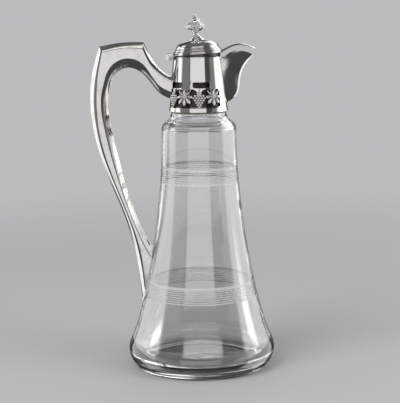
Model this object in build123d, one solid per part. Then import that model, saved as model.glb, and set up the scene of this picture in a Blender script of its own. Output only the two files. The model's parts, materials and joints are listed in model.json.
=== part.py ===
"""Claret jug: a bell of clear glass in a hinge-lidded silver mount, built piece by piece.

Millimetres. The origin is the centre of the foot on the table, +Z is up, +X points to the spout
and -X to the handle. The hinged lid stands slightly open at rest, by lid_rest_angle.
"""
from build123d import *
import os
from math import cos, degrees, radians, sin, sqrt

# ---- Glass body -------------------------------------------------------------------------------
shoulder_height = 195.0        # where the wall turns in to the shoulder
shoulder_radius = 30.3
heel_height = 21.5             # where the wall turns in to the rounded heel
heel_radius = 58.3
flare_power = 1.85             # how the bell opens downwards
flare_kick = 0.1               # share of the flare that comes only near the heel
flare_kick_power = 10
heel_swell = 2.0               # how far the rounded heel swells past the wall's end
heel_swell_drop = 8.2          # from the wall's end down to where the heel is widest
foot_ring_radius = 54.0        # outer edge of the ring that the jug stands on
foot_ring_width = 4.5
foot_edge_height = 2.6
foot_edge_step = 1.8           # from the ring out to where the heel begins
foot_hollow_depth = 1.8
foot_hollow_slope = 3.0        # width of the slope from the ring up to the hollow
glass_wall = 2.8
glass_floor = 8.0              # thickness of the bottom at its centre
floor_corner_radius = 11.0
shoulder_rise = 9.5            # from the wall's end up to the foot of the neck
neck_show = 5.6                # bare neck between the shoulder and the collar
neck_straight = 1.5            # how far below the collar the neck already follows it
neck_wall = 3.0
neck_inside_collar = 28.0      # how far the glass reaches up into the collar
packing_drop = 1.6             # from the neck's top edge down to the upper ring of plaster
packing_height = 2.0
neck_clearance = 0.55          # between the glass neck and the collar sleeve

# ---- Collar -----------------------------------------------------------------------------------
collar_length = 43.4
collar_rim_radius = 19.9
collar_foot_radius = 23.75
sleeve_wall = 0.9
foot_band_height = 3.0
foot_band_proud = 0.3
rim_band_height = 1.3
rim_band_proud = 0.25
slot_height = 4.2
slot_width = 13.4
slot_drop = 19.6               # from the rim down to the top of the slots
slot_first_angle = 84.0        # first slot, measured from the spout
slot_pitch = 59.5
slot_corner = 0.9
slot_belly = 0.7               # how much the slot's lower edge sags

# ---- Vine frieze on the collar ----------------------------------------------------------------
frieze_first_angle = 88.5      # first grape bunch, measured from the spout
frieze_pitch = 59.5            # from bunch to bunch, with a leaf half way
frieze_height = 15.4
window_width = 9.4
window_steps = (               # half pitches from the first bunch, and share of the full width
    (-1.36, 0.6),
    (-0.5, 1),
    (0.5, 1),
    (1.5, 1),
    (2.42, 0.55),
)
window_gap = 1.3               # between a window and the foot band
vine_relief = 0.7              # how far the vine stands proud of the sleeve
rib_relief = 1.15
leaf_lobe_lengths = (5.0, 7.2, 8.8)
leaf_lobe_angles = (76.0, 36.0, 0.0)
leaf_lobe_width = 3.7
leaf_vein_width = 0.7
leaf_stalk = 4.4               # from the top of the frieze down to where the lobes meet
berry_rows = (2, 4, 6, 3, 2, 2, 1)
berry_radius = 1.0
berry_spacing = 2.1
berry_height = 1.2
berry_facets = 8
bunch_drop = 3.4               # from the top of the frieze to the first row of berries
stem_width = 0.9
stem_sag = 0.8

# ---- Spout ------------------------------------------------------------------------------------
spout_reach = 44.7             # from the axis to the tip
spout_root_width = 18.0        # across the beak where it leaves the collar
spout_root_depth = 3.0         # how far the beak's sections reach back inside the collar's face
spout_drop = 37.0              # from the collar rim to the spout's lowest point
spout_lip_rise = 3.7           # how far the lip arches above the rim
spout_wall = 0.8
spout_mouth_drop = 13.0        # how far the way into the spout is cut down the collar
lip_wire_radius = 0.45

# ---- Lid --------------------------------------------------------------------------------------
lid_rest_angle = 4.0           # how far the lid stands open at rest
lid_gap = 0.3                  # between the closed lid and the collar rim
lid_radius = 20.9
lid_rim_height = 5.4
lid_bore_radius = 15.6
dome_radius = 17.2
dome_height = 6.6
dome_wall = 0.9
locating_ring_depth = 3.0
locating_ring_wall = 0.9
locating_ring_gap = 0.7        # between the locating ring and the inside of the collar
cover_reach = 46.2             # from the axis to the tip of the spout cover
cover_width = 19.6
cover_sheet = 0.95
cover_crown_radius = 26.0
cover_play = 0.5               # between the shut cover and the arch of the spout's lip
cover_root_rise = 1.7          # from the lid's foot up to where the cover leaves the rim
cover_tip_fall = 0.9           # how much the cover has dropped at its tip

# ---- Hinge ------------------------------------------------------------------------------------
hinge_stand_off = 4.6          # from the collar rim out to the hinge axis
hinge_drop = 0.7               # from the collar rim down to the hinge axis
knuckle_radius = 1.5
hinge_pin_radius = 0.75
hinge_pin_clearance = 0.04
hinge_width = 14.0
middle_knuckle_width = 5.4
knuckle_gap = 0.15
leaf_thickness = 1.5
leaf_curl = 0.9                # how far the strap reaches past the hinge axis
leaf_clearance = 0.3           # between the lid leaf and the middle knuckle
pin_head_radius = 1.1
pin_head_length = 0.5

# ---- Finial -----------------------------------------------------------------------------------
finial_ring_radius = 6.4
finial_ring_height = 1.1
calyx_radius = 4.6
calyx_top_radius = 2.3
calyx_height = 2.5
drop_height = 16.8
drop_radius = 7.45
drop_facets = 6
stud_radius = 0.8
stud_clearance = 0.05
stud_depth_in_drop = 7.0
stud_tail = 3.4                # what reaches below the dome for the washer and nut
washer_radius = 3.0
washer_thickness = 0.6
nut_across_flats = 4.0
nut_height = 1.6

# ---- Handle -----------------------------------------------------------------------------------
handle_half_width_top = 5.0    # half the thickness across the flat sides at the collar
handle_half_width_foot = 6.4   # and at the foot
ridge_share = 0.68             # where the two bevels meet, as a share of the half width
handle_wall = 1.0
handle_foot_gap = 0.35         # bed of cement between the foot plate and the glass
foot_plate_thickness = 0.9
vent_length = 5.4              # slit in the bevel that faces the glass
vent_width = 0.8
vent_gap = 0.4                 # from the handle's foot plate up to the slit's lower end
vent_inset = 1.5               # from the inner ridge to the slit
# Stations across the handle, each with its outer point, its inner point, and how far the bevels
# reach in from each of them (first the ridge's bevel, then the flat's edge). A point of the upper
# stations is its x and its rise over the collar's rim.
handle_upper_stations = (
    ((-15.0, -18.0), (-15.0, -36.5), (1.4, 3.6), (3.2, 5.4)),
    ((-23.1, -14.8), (-23.9, -33.4), (1.5, 3.8), (3.4, 5.6)),
    ((-31.2, -8.6), (-30.3, -30.0), (2.0, 5.0), (3.6, 6.2)),
    ((-36.6, -1.5), (-37.0, -22.6), (2.8, 6.2), (3.5, 6.6)),
    ((-43.5, 12.3), (-48.0, -11.0), (1.5, 5.2), (3.3, 7.4)),
    ((-60.5, 12.2), (-58.0, -8.5), (1.2, 4.4), (3.3, 7.5)),
    ((-79.5, 9.3), (-66.3, -13.3), (2.4, 5.4), (3.3, 7.3)),
    ((-85.6, -11.0), (-71.3, -24.5), (4.0, 6.6), (3.4, 7.0)),
    ((-88.2, -33.3), (-72.6, -33.3), (3.6, 6.2), (3.6, 6.4)),
    ((-86.6, -54.5), (-71.0, -53.5), (3.0, 5.4), (3.8, 6.0)),
    ((-77.8, -89.0), (-63.6, -88.0), (2.3, 4.3), (3.8, 5.4)),
)
# A point of the lower stations is its distance from the glass and its height.
handle_lower_stations = (
    ((25.7, 121.5), (13.4, 118.5), (2.1, 3.9), (3.8, 5.2)),
    ((12.3, 88.0), (-1.5, 95.5), (2.3, 4.4), (3.8, 5.4)),
    ((5.0, 66.0), (-9.0, 84.0), (2.6, 4.8), (3.8, 5.4)),
    ((-0.6, 49.5), (-15.0, 70.0), (2.6, 4.8), (3.8, 5.4)),
)

# ---- Worked out -------------------------------------------------------------------------------
collar_foot = shoulder_height + shoulder_rise + neck_show
collar_rim = collar_foot + collar_length
collar_taper = (collar_foot_radius - collar_rim_radius) / collar_length
neck_top = collar_foot + neck_inside_collar
packing_top = neck_top - packing_drop
frieze_foot = collar_foot + foot_band_height
frieze_top = frieze_foot + frieze_height
lid_foot = collar_rim + lid_gap
dome_foot = lid_foot + lid_rim_height
dome_top = dome_foot + dome_height
hinge_x = -(collar_rim_radius + hinge_stand_off)
hinge_height = collar_rim - hinge_drop
far = 400.0                    # longer than the jug, for cutting tools
trim_margin = 5.0              # how far a trimming body reaches past the collar

os.makedirs("parts", exist_ok=True)


# ---- Shared shapes ----------------------------------------------------------------------------
def rz(radius, height):
    """A point of a turned profile."""
    return (radius, 0, height)


def turned(*edges):
    """The solid turned about the jug's axis from a closed profile."""
    return revolve(make_face(list(edges)), Axis.Z)


def turned_polygon(*points):
    return turned(Polyline(*[rz(*point) for point in points], close=True))


def wall_radius(height):
    """Outer radius of the bell at a height: a power curve, with a kick near the heel."""
    depth = max(0.0, (shoulder_height - height) / (shoulder_height - heel_height))
    share = (1 - flare_kick) * depth ** flare_power + flare_kick * depth ** flare_kick_power
    return shoulder_radius + (heel_radius - shoulder_radius) * share


def wall_line(offset, low, high, count=8):
    """The bell's wall as a smooth line, moved out by an offset."""
    heights = [low + (high - low) * i / (count - 1) for i in range(count)]
    return Spline(*[rz(wall_radius(height) + offset, height) for height in heights])


def sleeve_radius(height):
    """Outer radius of the collar's cone at a height."""
    return collar_rim_radius + collar_taper * (collar_rim - height)


def cone_ring(low, high, inner, outer):
    """A ring that follows the collar's cone, between two offsets from its outer face."""
    return turned_polygon(
        (sleeve_radius(low) + inner, low),
        (sleeve_radius(low) + outer, low),
        (sleeve_radius(high) + outer, high),
        (sleeve_radius(high) + inner, high),
    )


def collar_core(offset=0.0):
    """Everything within the collar's outer face, for trimming what is soldered to it."""
    low = collar_foot - trim_margin
    high = collar_rim + 4 * trim_margin
    return turned_polygon(
        (0, low),
        (sleeve_radius(low) + offset, low),
        (sleeve_radius(high) + offset, high),
        (0, high),
    )


def face_plane(angle, height):
    """A plane that faces outwards from the jug's axis, with its own X level and its Y up."""
    across = (-sin(radians(angle)), cos(radians(angle)), 0)
    outwards = (cos(radians(angle)), sin(radians(angle)), 0)
    return Plane(origin=(0, 0, height), x_dir=across, z_dir=outwards)


def standing_profile(points):
    """A face in the jug's middle plane, from points of x and height."""
    return make_face(Polyline(*[(x, 0, height) for x, height in points], close=True))


# ---- Glass ------------------------------------------------------------------------------------
def shoulder_line(offset):
    """The shoulder and the start of the neck, moved in by the thickness of the glass."""
    neck_foot = collar_foot - neck_straight
    neck_radius = sleeve_radius(neck_foot) - sleeve_wall - neck_clearance
    rise = neck_foot - shoulder_height
    start = shoulder_height - 0.3 * offset
    return Spline(
        rz(wall_radius(start) - offset, start),
        rz(shoulder_radius - 0.26 * (shoulder_radius - neck_radius) - offset,
           shoulder_height + 0.40 * rise - 0.8 * offset),
        rz(shoulder_radius - 0.76 * (shoulder_radius - neck_radius) - offset,
           shoulder_height + 0.63 * rise - 0.9 * offset),
        rz(neck_radius - offset, neck_foot),
        tangents=[(0, 0, 1), (-collar_taper, 0, 1)],
    )


def make_glass_body():
    """Rounded heel, flared wall, shoulder and tapering neck, with a thick floor."""
    outer_wall = wall_line(0, heel_height, shoulder_height)
    outer_shoulder = shoulder_line(0)
    inner_shoulder = shoulder_line(glass_wall)
    neck_lip = neck_radius_at(neck_top)
    lip_low = neck_top - neck_wall / 2
    inner_low = glass_floor + floor_corner_radius
    inner_wall = wall_line(-glass_wall, inner_low, (inner_shoulder @ 0).Z)
    inner_corner = inner_wall @ 0
    foot_edge = rz(foot_ring_radius + foot_edge_step, foot_edge_height)
    hollow_edge = foot_ring_radius - foot_ring_width
    widest = rz(heel_radius + heel_swell, heel_height - heel_swell_drop)
    heel = ThreePointArc(outer_wall @ 0, widest, foot_edge)
    return turned(
        outer_wall,
        outer_shoulder,
        Line(outer_shoulder @ 1, rz(neck_radius_at(lip_low), lip_low)),
        ThreePointArc(
            rz(neck_radius_at(lip_low), lip_low),
            rz(neck_lip - neck_wall / 2, neck_top),
            rz(neck_radius_at(lip_low) - neck_wall, lip_low),
        ),
        Line(rz(neck_radius_at(lip_low) - neck_wall, lip_low), inner_shoulder @ 1),
        inner_shoulder,
        inner_wall,
        ThreePointArc(
            inner_corner,
            rz(inner_corner.X - 0.16 * floor_corner_radius, glass_floor + 0.34 * floor_corner_radius),
            rz(inner_corner.X - floor_corner_radius, glass_floor + 0.5),
        ),
        Line(rz(inner_corner.X - floor_corner_radius, glass_floor + 0.5), rz(0, glass_floor)),
        Line(rz(0, glass_floor), rz(0, foot_hollow_depth)),
        Line(rz(0, foot_hollow_depth), rz(hollow_edge - foot_hollow_slope, foot_hollow_depth)),
        Line(rz(hollow_edge - foot_hollow_slope, foot_hollow_depth), rz(hollow_edge, 0)),
        Line(rz(hollow_edge, 0), rz(foot_ring_radius, 0)),
        Line(rz(foot_ring_radius, 0), foot_edge),
        heel,
    )


def neck_radius_at(height):
    """Outer radius of the glass neck, which follows the inside of the collar."""
    return sleeve_radius(height) - sleeve_wall - neck_clearance


def make_neck_cement(low, high):
    """A ring of plaster that fills the gap between the glass neck and the sleeve."""
    return cone_ring(low, high, -sleeve_wall - neck_clearance, -sleeve_wall)


# ---- Collar -----------------------------------------------------------------------------------
def both_sides(*steps):
    """Angles from the spout, on both sides, at steps of half a pitch from the first bunch."""
    angles = [frieze_first_angle + step * frieze_pitch / 2 for step in steps]
    return [side * angle for angle in angles for side in (1, -1)]


def slot_tool():
    """A round-cornered slot whose lower edge sags in the middle."""
    half = slot_width / 2
    top = slot_height / 2
    outline = make_face([
        Polyline((-half, -top), (-half, top), (half, top), (half, -top)),
        ThreePointArc((half, -top), (0, -top - slot_belly), (-half, -top)),
    ])
    corners = outline.vertices()
    return fillet(corners, slot_corner)


def window_outline(share):
    """One opening beside a stem: an arch on straight sides."""
    half = window_width * share / 2
    low = -frieze_height / 2 + window_gap
    high = frieze_height / 2
    spring = high - half * 0.8
    return make_face([
        Polyline((-half, spring), (-half, low), (half, low), (half, spring)),
        ThreePointArc((half, spring), (0, high), (-half, spring)),
    ])


def make_collar_sleeve(spout_bore):
    """The tapering sleeve, with its slots, the windows of the frieze and the way to the spout."""
    sleeve = cone_ring(collar_foot, collar_rim, -sleeve_wall, 0)
    slot_middle = collar_rim - slot_drop - slot_height / 2
    window_middle = frieze_foot + frieze_height / 2
    for angle in (slot_first_angle, slot_first_angle + slot_pitch):
        for side in (1, -1):
            plane = face_plane(side * angle, slot_middle)
            sleeve -= extrude(plane * slot_tool(), amount=far / 8)
    for step, share in window_steps:
        for angle in both_sides(step):
            plane = face_plane(angle, window_middle)
            sleeve -= extrude(plane * window_outline(share), amount=far / 8)
    return sleeve - spout_bore


def leaf_lobe(length, angle):
    """A pointed lobe that hangs from the leaf's stalk, turned by an angle."""
    half = leaf_lobe_width / 2
    belly = -0.52 * length
    lobe = make_face([
        ThreePointArc((0, 0), (half, belly), (0, -length)),
        ThreePointArc((0, -length), (-half, belly), (0, 0)),
    ])
    return Rot(0, 0, angle) * lobe


def leaf_vein(length, angle):
    """The raised rib down the middle of a lobe."""
    vein = Pos(0, -0.47 * length) * Rectangle(leaf_vein_width, 0.86 * length)
    return Rot(0, 0, angle) * vein


def relief(outline, angle, height, low, high):
    """An outline carried out from the axis, kept where it lies between two offsets."""
    ring = cone_ring(frieze_foot - 1, frieze_top + 1, low, high)
    return extrude(face_plane(angle, height) * outline, amount=far / 8) & ring


def make_vine_leaf():
    """A vine leaf at angle 0: five lobes, each with a raised vein, and its stalk."""
    blade = Rectangle(1.6 * leaf_vein_width, leaf_stalk, align=(Align.CENTER, Align.MIN))
    veins = Rectangle(leaf_vein_width, leaf_stalk, align=(Align.CENTER, Align.MIN))
    for length, angle in zip(leaf_lobe_lengths, leaf_lobe_angles):
        for side in (-1, 1):
            blade += leaf_lobe(length, side * angle)
            veins += leaf_vein(length, side * angle)
    stalk_height = frieze_top - leaf_stalk
    return (relief(blade, 0, stalk_height, 0, vine_relief)
            + relief(veins, 0, stalk_height, vine_relief / 2, rib_relief))


berry_row_drop = berry_spacing * sqrt(3) / 2


def bunch_outline():
    """The backing of a bunch, which follows the ends of its rows of berries."""
    side = [(0.42 * berry_spacing * count, -row * berry_row_drop) for row, count in enumerate(berry_rows)]
    top = (0.5, 0.8 * berry_radius)
    foot = (0.4, side[-1][1] - 0.6 * berry_radius)
    right = [top, *side, foot]
    left = [(-x, y) for x, y in reversed(right)]
    return make_face(Polyline(*right, *left, close=True))


def make_grape_bunch():
    """A bunch of grapes at angle 0: rows of faceted berries on a curved backing."""
    top = frieze_top - bunch_drop
    stalk = Rectangle(1.6 * leaf_vein_width, bunch_drop, align=(Align.CENTER, Align.MIN))
    bunch = relief(bunch_outline() + stalk, 0, top, 0, vine_relief)
    for row, count in enumerate(berry_rows):
        height = top - berry_row_drop * row
        radius = sleeve_radius(height) + vine_relief / 2
        for place in range(count):
            across = berry_spacing * (place - (count - 1) / 2)
            angle = degrees(across / radius)
            plane = face_plane(angle, height).offset(radius)
            berry = plane * RegularPolygon(berry_radius, berry_facets)
            bunch += extrude(berry, amount=berry_height, taper=24)
    return bunch


def make_vine_stem():
    """A stem at angle 0 that sags between the stalk of a leaf and the stalk of a bunch."""
    gap = radians(frieze_pitch / 2) * sleeve_radius(frieze_top)
    half = gap / 2 - 0.8 * leaf_vein_width - 0.3
    line = ThreePointArc((-half, 0), (0, -stem_sag), (half, 0))
    return relief(trace(line, stem_width), 0, frieze_top - 1.4, 0, vine_relief)


# ---- Spout ------------------------------------------------------------------------------------
def beak_plan(back, reach, half_width):
    """A parabola that points away from the axis, closed straight across its back."""
    curve = Bezier((back, -half_width), (2 * reach - back, 0), (back, half_width))
    return make_face([curve, Line(curve @ 1, curve @ 0)])


def spout_section(height, reach, half_width, inset):
    """A level section through the spout, from just inside the collar's face."""
    back = sleeve_radius(height) - spout_root_depth
    return Pos(0, 0, height) * beak_plan(back, reach - inset, half_width - inset)


def spout_body(inset):
    """The beak, solid, within an inset from its outer face."""
    foot = collar_rim - spout_drop
    below_tip = spout_reach - sleeve_radius(foot)
    half = spout_root_width / 2
    shape = (                   # height over the foot, reach and width as shares
        (0.0, 0.0, 0.30),
        (0.116, 0.30, 0.50),
        (0.216, 0.41, 0.62),
        (0.378, 0.475, 0.76),
        (0.568, 0.525, 0.86),
        (0.730, 0.62, 0.92),
        (0.865, 0.77, 0.96),
        (0.995, 0.985, 1.0),
        (1.135, 1.20, 1.04),
    )
    sections = []
    for rise, share, width in shape:
        height = foot + rise * spout_drop
        reach = sleeve_radius(foot) + below_tip * share
        sections.append(spout_section(height, reach, half * width, inset))
    return loft(sections)


def lip_line(rise=0.0):
    """The lip seen from the side: level under the lid's rim, then arched, then dropping."""
    start = collar_rim_radius
    span = spout_reach - start
    root = lid_foot - lip_wire_radius - cover_play
    return Spline(
        (start - 2 * spout_root_depth, 0, root + rise),
        (lid_radius + cover_play, 0, root + rise),
        (start + 0.20 * span, 0, collar_rim + 0.48 * spout_lip_rise + rise),
        (start + 0.48 * span, 0, collar_rim + spout_lip_rise + rise),
        (start + 0.80 * span, 0, collar_rim + 0.72 * spout_lip_rise + rise),
        (start + 1.12 * span, 0, collar_rim - 0.35 * spout_lip_rise + rise),
    )


def under_lip(rise=0.0):
    """All the space under the lip line."""
    line = lip_line(rise)
    start = line @ 0
    end = line @ 1
    low = collar_foot - trim_margin
    side = make_face([
        line,
        Polyline((end.X, 0, end.Z), (end.X, 0, low), (start.X, 0, low), (start.X, 0, start.Z)),
    ])
    return extrude(side, amount=spout_root_width, both=True)


def make_spout_shell(beak, bore):
    """Sheet silver bent to a beak, open above and where it meets the collar."""
    trimmed = (beak - bore) & under_lip(-lip_wire_radius)
    return largest(trimmed - collar_core())


def make_lip_wire(beak, bore):
    """The stout edge of the lip, a strip of the beak thickened outwards."""
    band = under_lip(lip_wire_radius) - under_lip(-lip_wire_radius)
    return largest((beak & band) - bore - collar_core(0.05))


def largest(shape):
    """The biggest solid of a shape, without the crumbs of a cut."""
    return sorted(shape.solids(), key=lambda solid: solid.volume)[-1]


def make_spout_bore(bore):
    """The way from the collar into the spout."""
    low = collar_rim - spout_mouth_drop
    tool = Pos(0, 0, low) * Box(far, far, far / 4, align=(Align.MIN, Align.CENTER, Align.MIN))
    return bore & tool


# ---- Lid --------------------------------------------------------------------------------------
def opened(shape):
    """A lid piece turned about the hinge from shut to its place at rest."""
    return shape.rotate(Axis((hinge_x, 0, hinge_height), (0, -1, 0)), lid_rest_angle)


def crown_drop(half):
    """How far the cover's crown has fallen at a distance from its middle line."""
    return cover_crown_radius - sqrt(cover_crown_radius ** 2 - half ** 2)


def cover_height(x):
    """Height of the cover's underside on its middle line, arched to clear the spout's lip."""
    span = cover_reach - collar_rim_radius
    share = (x - collar_rim_radius) / span
    lip_top = collar_rim + spout_lip_rise + lip_wire_radius
    root = lid_foot + cover_root_rise
    lift = lip_top + cover_play + crown_drop(0.4 * spout_root_width) - root
    arch = max(0.0, sin(radians(180 * min(1.0, max(0.0, share)))))
    return root + lift * arch - cover_tip_fall * max(0.0, share) ** 3


def make_cover():
    """The tongue over the spout: a sheet crowned across and arched along."""
    half = cover_width / 2 + 1
    drop = crown_drop(half)
    span = cover_reach - collar_rim_radius
    sections = []
    for share in (-0.18, 0.0, 0.18, 0.36, 0.56, 0.78, 1.04):
        x = collar_rim_radius + share * span
        low = cover_height(x)
        sections.append(make_face([
            ThreePointArc((x, -half, low - drop), (x, 0, low), (x, half, low - drop)),
            Polyline((x, half, low - drop), (x, half, low - drop + cover_sheet)),
            ThreePointArc((x, half, low - drop + cover_sheet), (x, 0, low + cover_sheet),
                          (x, -half, low - drop + cover_sheet)),
            Polyline((x, -half, low - drop + cover_sheet), (x, -half, low - drop)),
        ]))
    plan = beak_plan(collar_rim_radius - spout_root_depth, cover_reach, cover_width / 2)
    return loft(sections) & extrude(Pos(0, 0, lid_foot) * plan, amount=far / 8)


def lid_rim(bore):
    """The turned rim of the lid: a lip, two beads and a cove up to the dome."""
    lip = lid_foot + 0.20 * lid_rim_height
    groove = lid_foot + 0.46 * lid_rim_height
    cove = lid_foot + 0.74 * lid_rim_height
    lip_bead = rz(lid_radius - 0.1, lip + 0.14 * lid_rim_height)
    upper_bead = rz(lid_radius - 0.75, groove + 0.10 * lid_rim_height)
    hollow = rz(dome_radius + 0.75, cove + 0.06 * lid_rim_height)
    groove_edge = rz(lid_radius - 1.1, groove)
    cove_edge = rz(lid_radius - 1.3, cove)
    return turned(
        Polyline(rz(bore, dome_foot), rz(bore, lid_foot), rz(lid_radius - 0.3, lid_foot),
                 rz(lid_radius, lid_foot + 0.3), rz(lid_radius, lip)),
        ThreePointArc(rz(lid_radius, lip), lip_bead, groove_edge),
        ThreePointArc(groove_edge, upper_bead, cove_edge),
        ThreePointArc(cove_edge, hollow, rz(dome_radius, dome_foot)),
        Line(rz(dome_radius, dome_foot), rz(bore, dome_foot)),
    )


def make_lid_flange():
    """The lid's rim with its two beads, running out into the spout cover."""
    bore = Pos(0, 0, lid_foot) * Cylinder(dome_radius, far / 8)
    return lid_rim(lid_bore_radius) + (make_cover() - bore)


def dome_drop(radius, wall=0.0):
    """How far the dome has fallen from its top at a radius, outside or inside its wall."""
    return (dome_height - wall) * (1 - sqrt(1 - (radius / (dome_radius - wall)) ** 2))


def make_lid_dome():
    """The spun dome, a quarter ellipse turned about the axis, with a hole for the stud."""
    hole = stud_radius + stud_clearance
    inside_top = dome_top - dome_wall
    return turned(
        ellipse_quarter(dome_radius, dome_height),
        Line(rz(0.0, dome_top), rz(0.0, inside_top)),
        ellipse_quarter(dome_radius - dome_wall, dome_height - dome_wall),
        Line(rz(dome_radius - dome_wall, dome_foot), rz(dome_radius, dome_foot)),
    ) - Pos(0, 0, dome_top) * Cylinder(hole, 4 * dome_wall)


def ellipse_quarter(radius, height):
    """A quarter ellipse in the middle plane, from the dome's foot to its top."""
    plane = Plane(origin=(0, 0, dome_foot), x_dir=(1, 0, 0), z_dir=(0, -1, 0))
    return plane * EllipticalCenterArc((0, 0), radius, height, start_angle=0, arc_size=90)


def make_locating_ring():
    """The ring under the lid that drops inside the collar."""
    outer = collar_rim_radius - sleeve_wall - locating_ring_gap
    inner = outer - locating_ring_wall
    low = lid_foot - locating_ring_depth
    return turned_polygon((inner, low), (outer - 0.3, low), (outer, low + 0.6), (outer, lid_foot),
                          (inner, lid_foot))


# ---- Hinge ------------------------------------------------------------------------------------
def hinge_barrel(radius, width, middle):
    """A length of the hinge's barrel."""
    plane = Plane(origin=(hinge_x, middle, hinge_height), x_dir=(1, 0, 0), z_dir=(0, 1, 0))
    return extrude(plane * Circle(radius), amount=width / 2, both=True)


def make_hinge_leaf():
    """The lid's half of the hinge: a strap from the rim, curled into the two outer knuckles."""
    side_width = (hinge_width - middle_knuckle_width) / 2 - knuckle_gap
    strap_low = hinge_height + knuckle_radius + leaf_clearance
    strap_high = strap_low + leaf_thickness
    reach = -(dome_radius + 0.6)
    strap = standing_profile([
        (hinge_x - leaf_curl, strap_high), (hinge_x - leaf_curl, strap_low),
        (reach, strap_low), (reach, strap_high),
    ])
    leaf = extrude(strap, amount=hinge_width / 2, both=True)
    for side in (-1, 1):
        middle = side * (hinge_width - side_width) / 2
        leaf += hinge_barrel(knuckle_radius, side_width, middle)
        curl = standing_profile([
            (hinge_x - knuckle_radius + 0.1, hinge_height), (hinge_x + knuckle_radius - 0.2, hinge_height),
            (hinge_x + knuckle_radius - 0.2, strap_high), (hinge_x - leaf_curl, strap_high),
        ])
        leaf += Pos(0, middle, 0) * extrude(curl, amount=side_width / 2, both=True)
    leaf -= hinge_barrel(hinge_pin_radius + hinge_pin_clearance, hinge_width + 2, 0)
    return leaf - lid_rim(0)


def make_hinge_bracket():
    """The fixed half of the hinge: one middle knuckle on an arm from the collar."""
    arm = standing_profile([
        (hinge_x, hinge_height - knuckle_radius), (hinge_x, hinge_height + 0.3),
        (0, hinge_height + 0.3 - collar_rim_radius * 0.1), (0, hinge_height - 3.5),
    ])
    width = middle_knuckle_width
    bracket = extrude(arm, amount=width / 2, both=True)
    below_lid = Pos(0, 0, collar_rim) * Box(
        far, far, far / 4, align=(Align.CENTER, Align.CENTER, Align.MIN))
    keep_clear = below_lid & Pos(hinge_x + knuckle_radius, 0, 0) * Box(
        far, far, 4 * far, align=(Align.MIN, Align.CENTER, Align.CENTER))
    bracket -= keep_clear
    bracket += hinge_barrel(knuckle_radius, width, 0)
    bracket -= hinge_barrel(hinge_pin_radius + hinge_pin_clearance, hinge_width, 0)
    return bracket - collar_core()


def make_hinge_pin():
    """A plain pin with a low head at each end."""
    pin = hinge_barrel(hinge_pin_radius, hinge_width + 2 * knuckle_gap, 0)
    for side in (-1, 1):
        middle = side * (hinge_width / 2 + knuckle_gap + pin_head_length / 2)
        pin += hinge_barrel(pin_head_radius, pin_head_length, middle)
    return pin


# ---- Finial -----------------------------------------------------------------------------------
ring_foot = dome_top - dome_drop(finial_ring_radius)
ring_top = dome_top + finial_ring_height
calyx_top = ring_top + calyx_height
washer_top = dome_top - dome_wall - dome_drop(washer_radius, dome_wall)


def make_finial_ring():
    """A turned washer that follows the top of the dome."""
    hole = stud_radius + stud_clearance
    ring = turned(
        Polyline(rz(hole, ring_foot), rz(finial_ring_radius - 0.5, ring_foot)),
        ThreePointArc(rz(finial_ring_radius - 0.5, ring_foot),
                      rz(finial_ring_radius, ring_foot + 0.5), rz(finial_ring_radius - 0.5, ring_top - 0.35)),
        Polyline(rz(finial_ring_radius - 0.5, ring_top - 0.35), rz(calyx_radius, ring_top),
                 rz(hole, ring_top), rz(hole, ring_foot)),
    )
    dome = turned(
        ellipse_quarter(dome_radius, dome_height),
        Line(rz(0, dome_top), rz(0, dome_foot)),
        Line(rz(0, dome_foot), rz(dome_radius, dome_foot)),
    )
    return ring - dome


def make_finial_calyx():
    """The cup under the drop: two swelling steps."""
    hole = stud_radius + stud_clearance
    step = ring_top + 0.55 * calyx_height
    return turned(
        Line(rz(hole, ring_top), rz(calyx_radius, ring_top)),
        ThreePointArc(rz(calyx_radius, ring_top), rz(calyx_radius - 0.35, ring_top + 0.9),
                      rz(calyx_top_radius + 0.9, step)),
        ThreePointArc(rz(calyx_top_radius + 0.9, step), rz(calyx_top_radius + 0.55, step + 0.7),
                      rz(calyx_top_radius, calyx_top)),
        Line(rz(calyx_top_radius, calyx_top), rz(hole, calyx_top)),
        Line(rz(hole, calyx_top), rz(hole, ring_top)),
    )


def make_finial_drop():
    """The cut-glass drop: rings of flat facets between polygons, bored for the stud."""
    shape = (                   # height over the calyx and radius as shares
        (0.0, 0.27),
        (0.11, 0.27),
        (0.17, 0.44),
        (0.23, 0.67),
        (0.30, 0.88),
        (0.42, 1.0),
        (0.51, 0.90),
        (0.60, 0.58),
        (0.70, 0.42),
        (0.85, 0.25),
        (1.0, 0.04),
    )
    sections = [
        Pos(0, 0, calyx_top + rise * drop_height) * RegularPolygon(drop_radius * share, drop_facets)
        for rise, share in shape
    ]
    drop = loft(sections, ruled=True)
    hole = Cylinder(stud_radius + stud_clearance, 2 * stud_depth_in_drop)
    return drop - Pos(0, 0, calyx_top) * hole


def make_finial_stud():
    """The stud that draws the finial down on the dome."""
    low = dome_top - dome_wall - stud_tail
    high = calyx_top + stud_depth_in_drop - 0.3
    return Pos(0, 0, low) * Cylinder(
        stud_radius, high - low, align=(Align.CENTER, Align.CENTER, Align.MIN))


def make_finial_washer():
    hole = stud_radius + stud_clearance
    low = washer_top - washer_thickness
    return turned_polygon((hole, low), (washer_radius, low), (washer_radius, washer_top), (hole, washer_top))


def make_finial_nut():
    top = washer_top - washer_thickness
    hexagon = RegularPolygon(nut_across_flats / 2, 6, major_radius=False)
    nut = Pos(0, 0, top - nut_height) * extrude(hexagon, amount=nut_height)
    return nut - Pos(0, 0, top) * Cylinder(stud_radius + stud_clearance / 2, 4 * nut_height)


# ---- Handle -----------------------------------------------------------------------------------
def upper(x, rise):
    """A point of the handle that keeps its place against the collar's rim."""
    return (x, collar_rim + rise)


def lower(stand_off, height):
    """A point of the handle that keeps its distance from the glass."""
    return (-(wall_radius(height) + stand_off), height)


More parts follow.
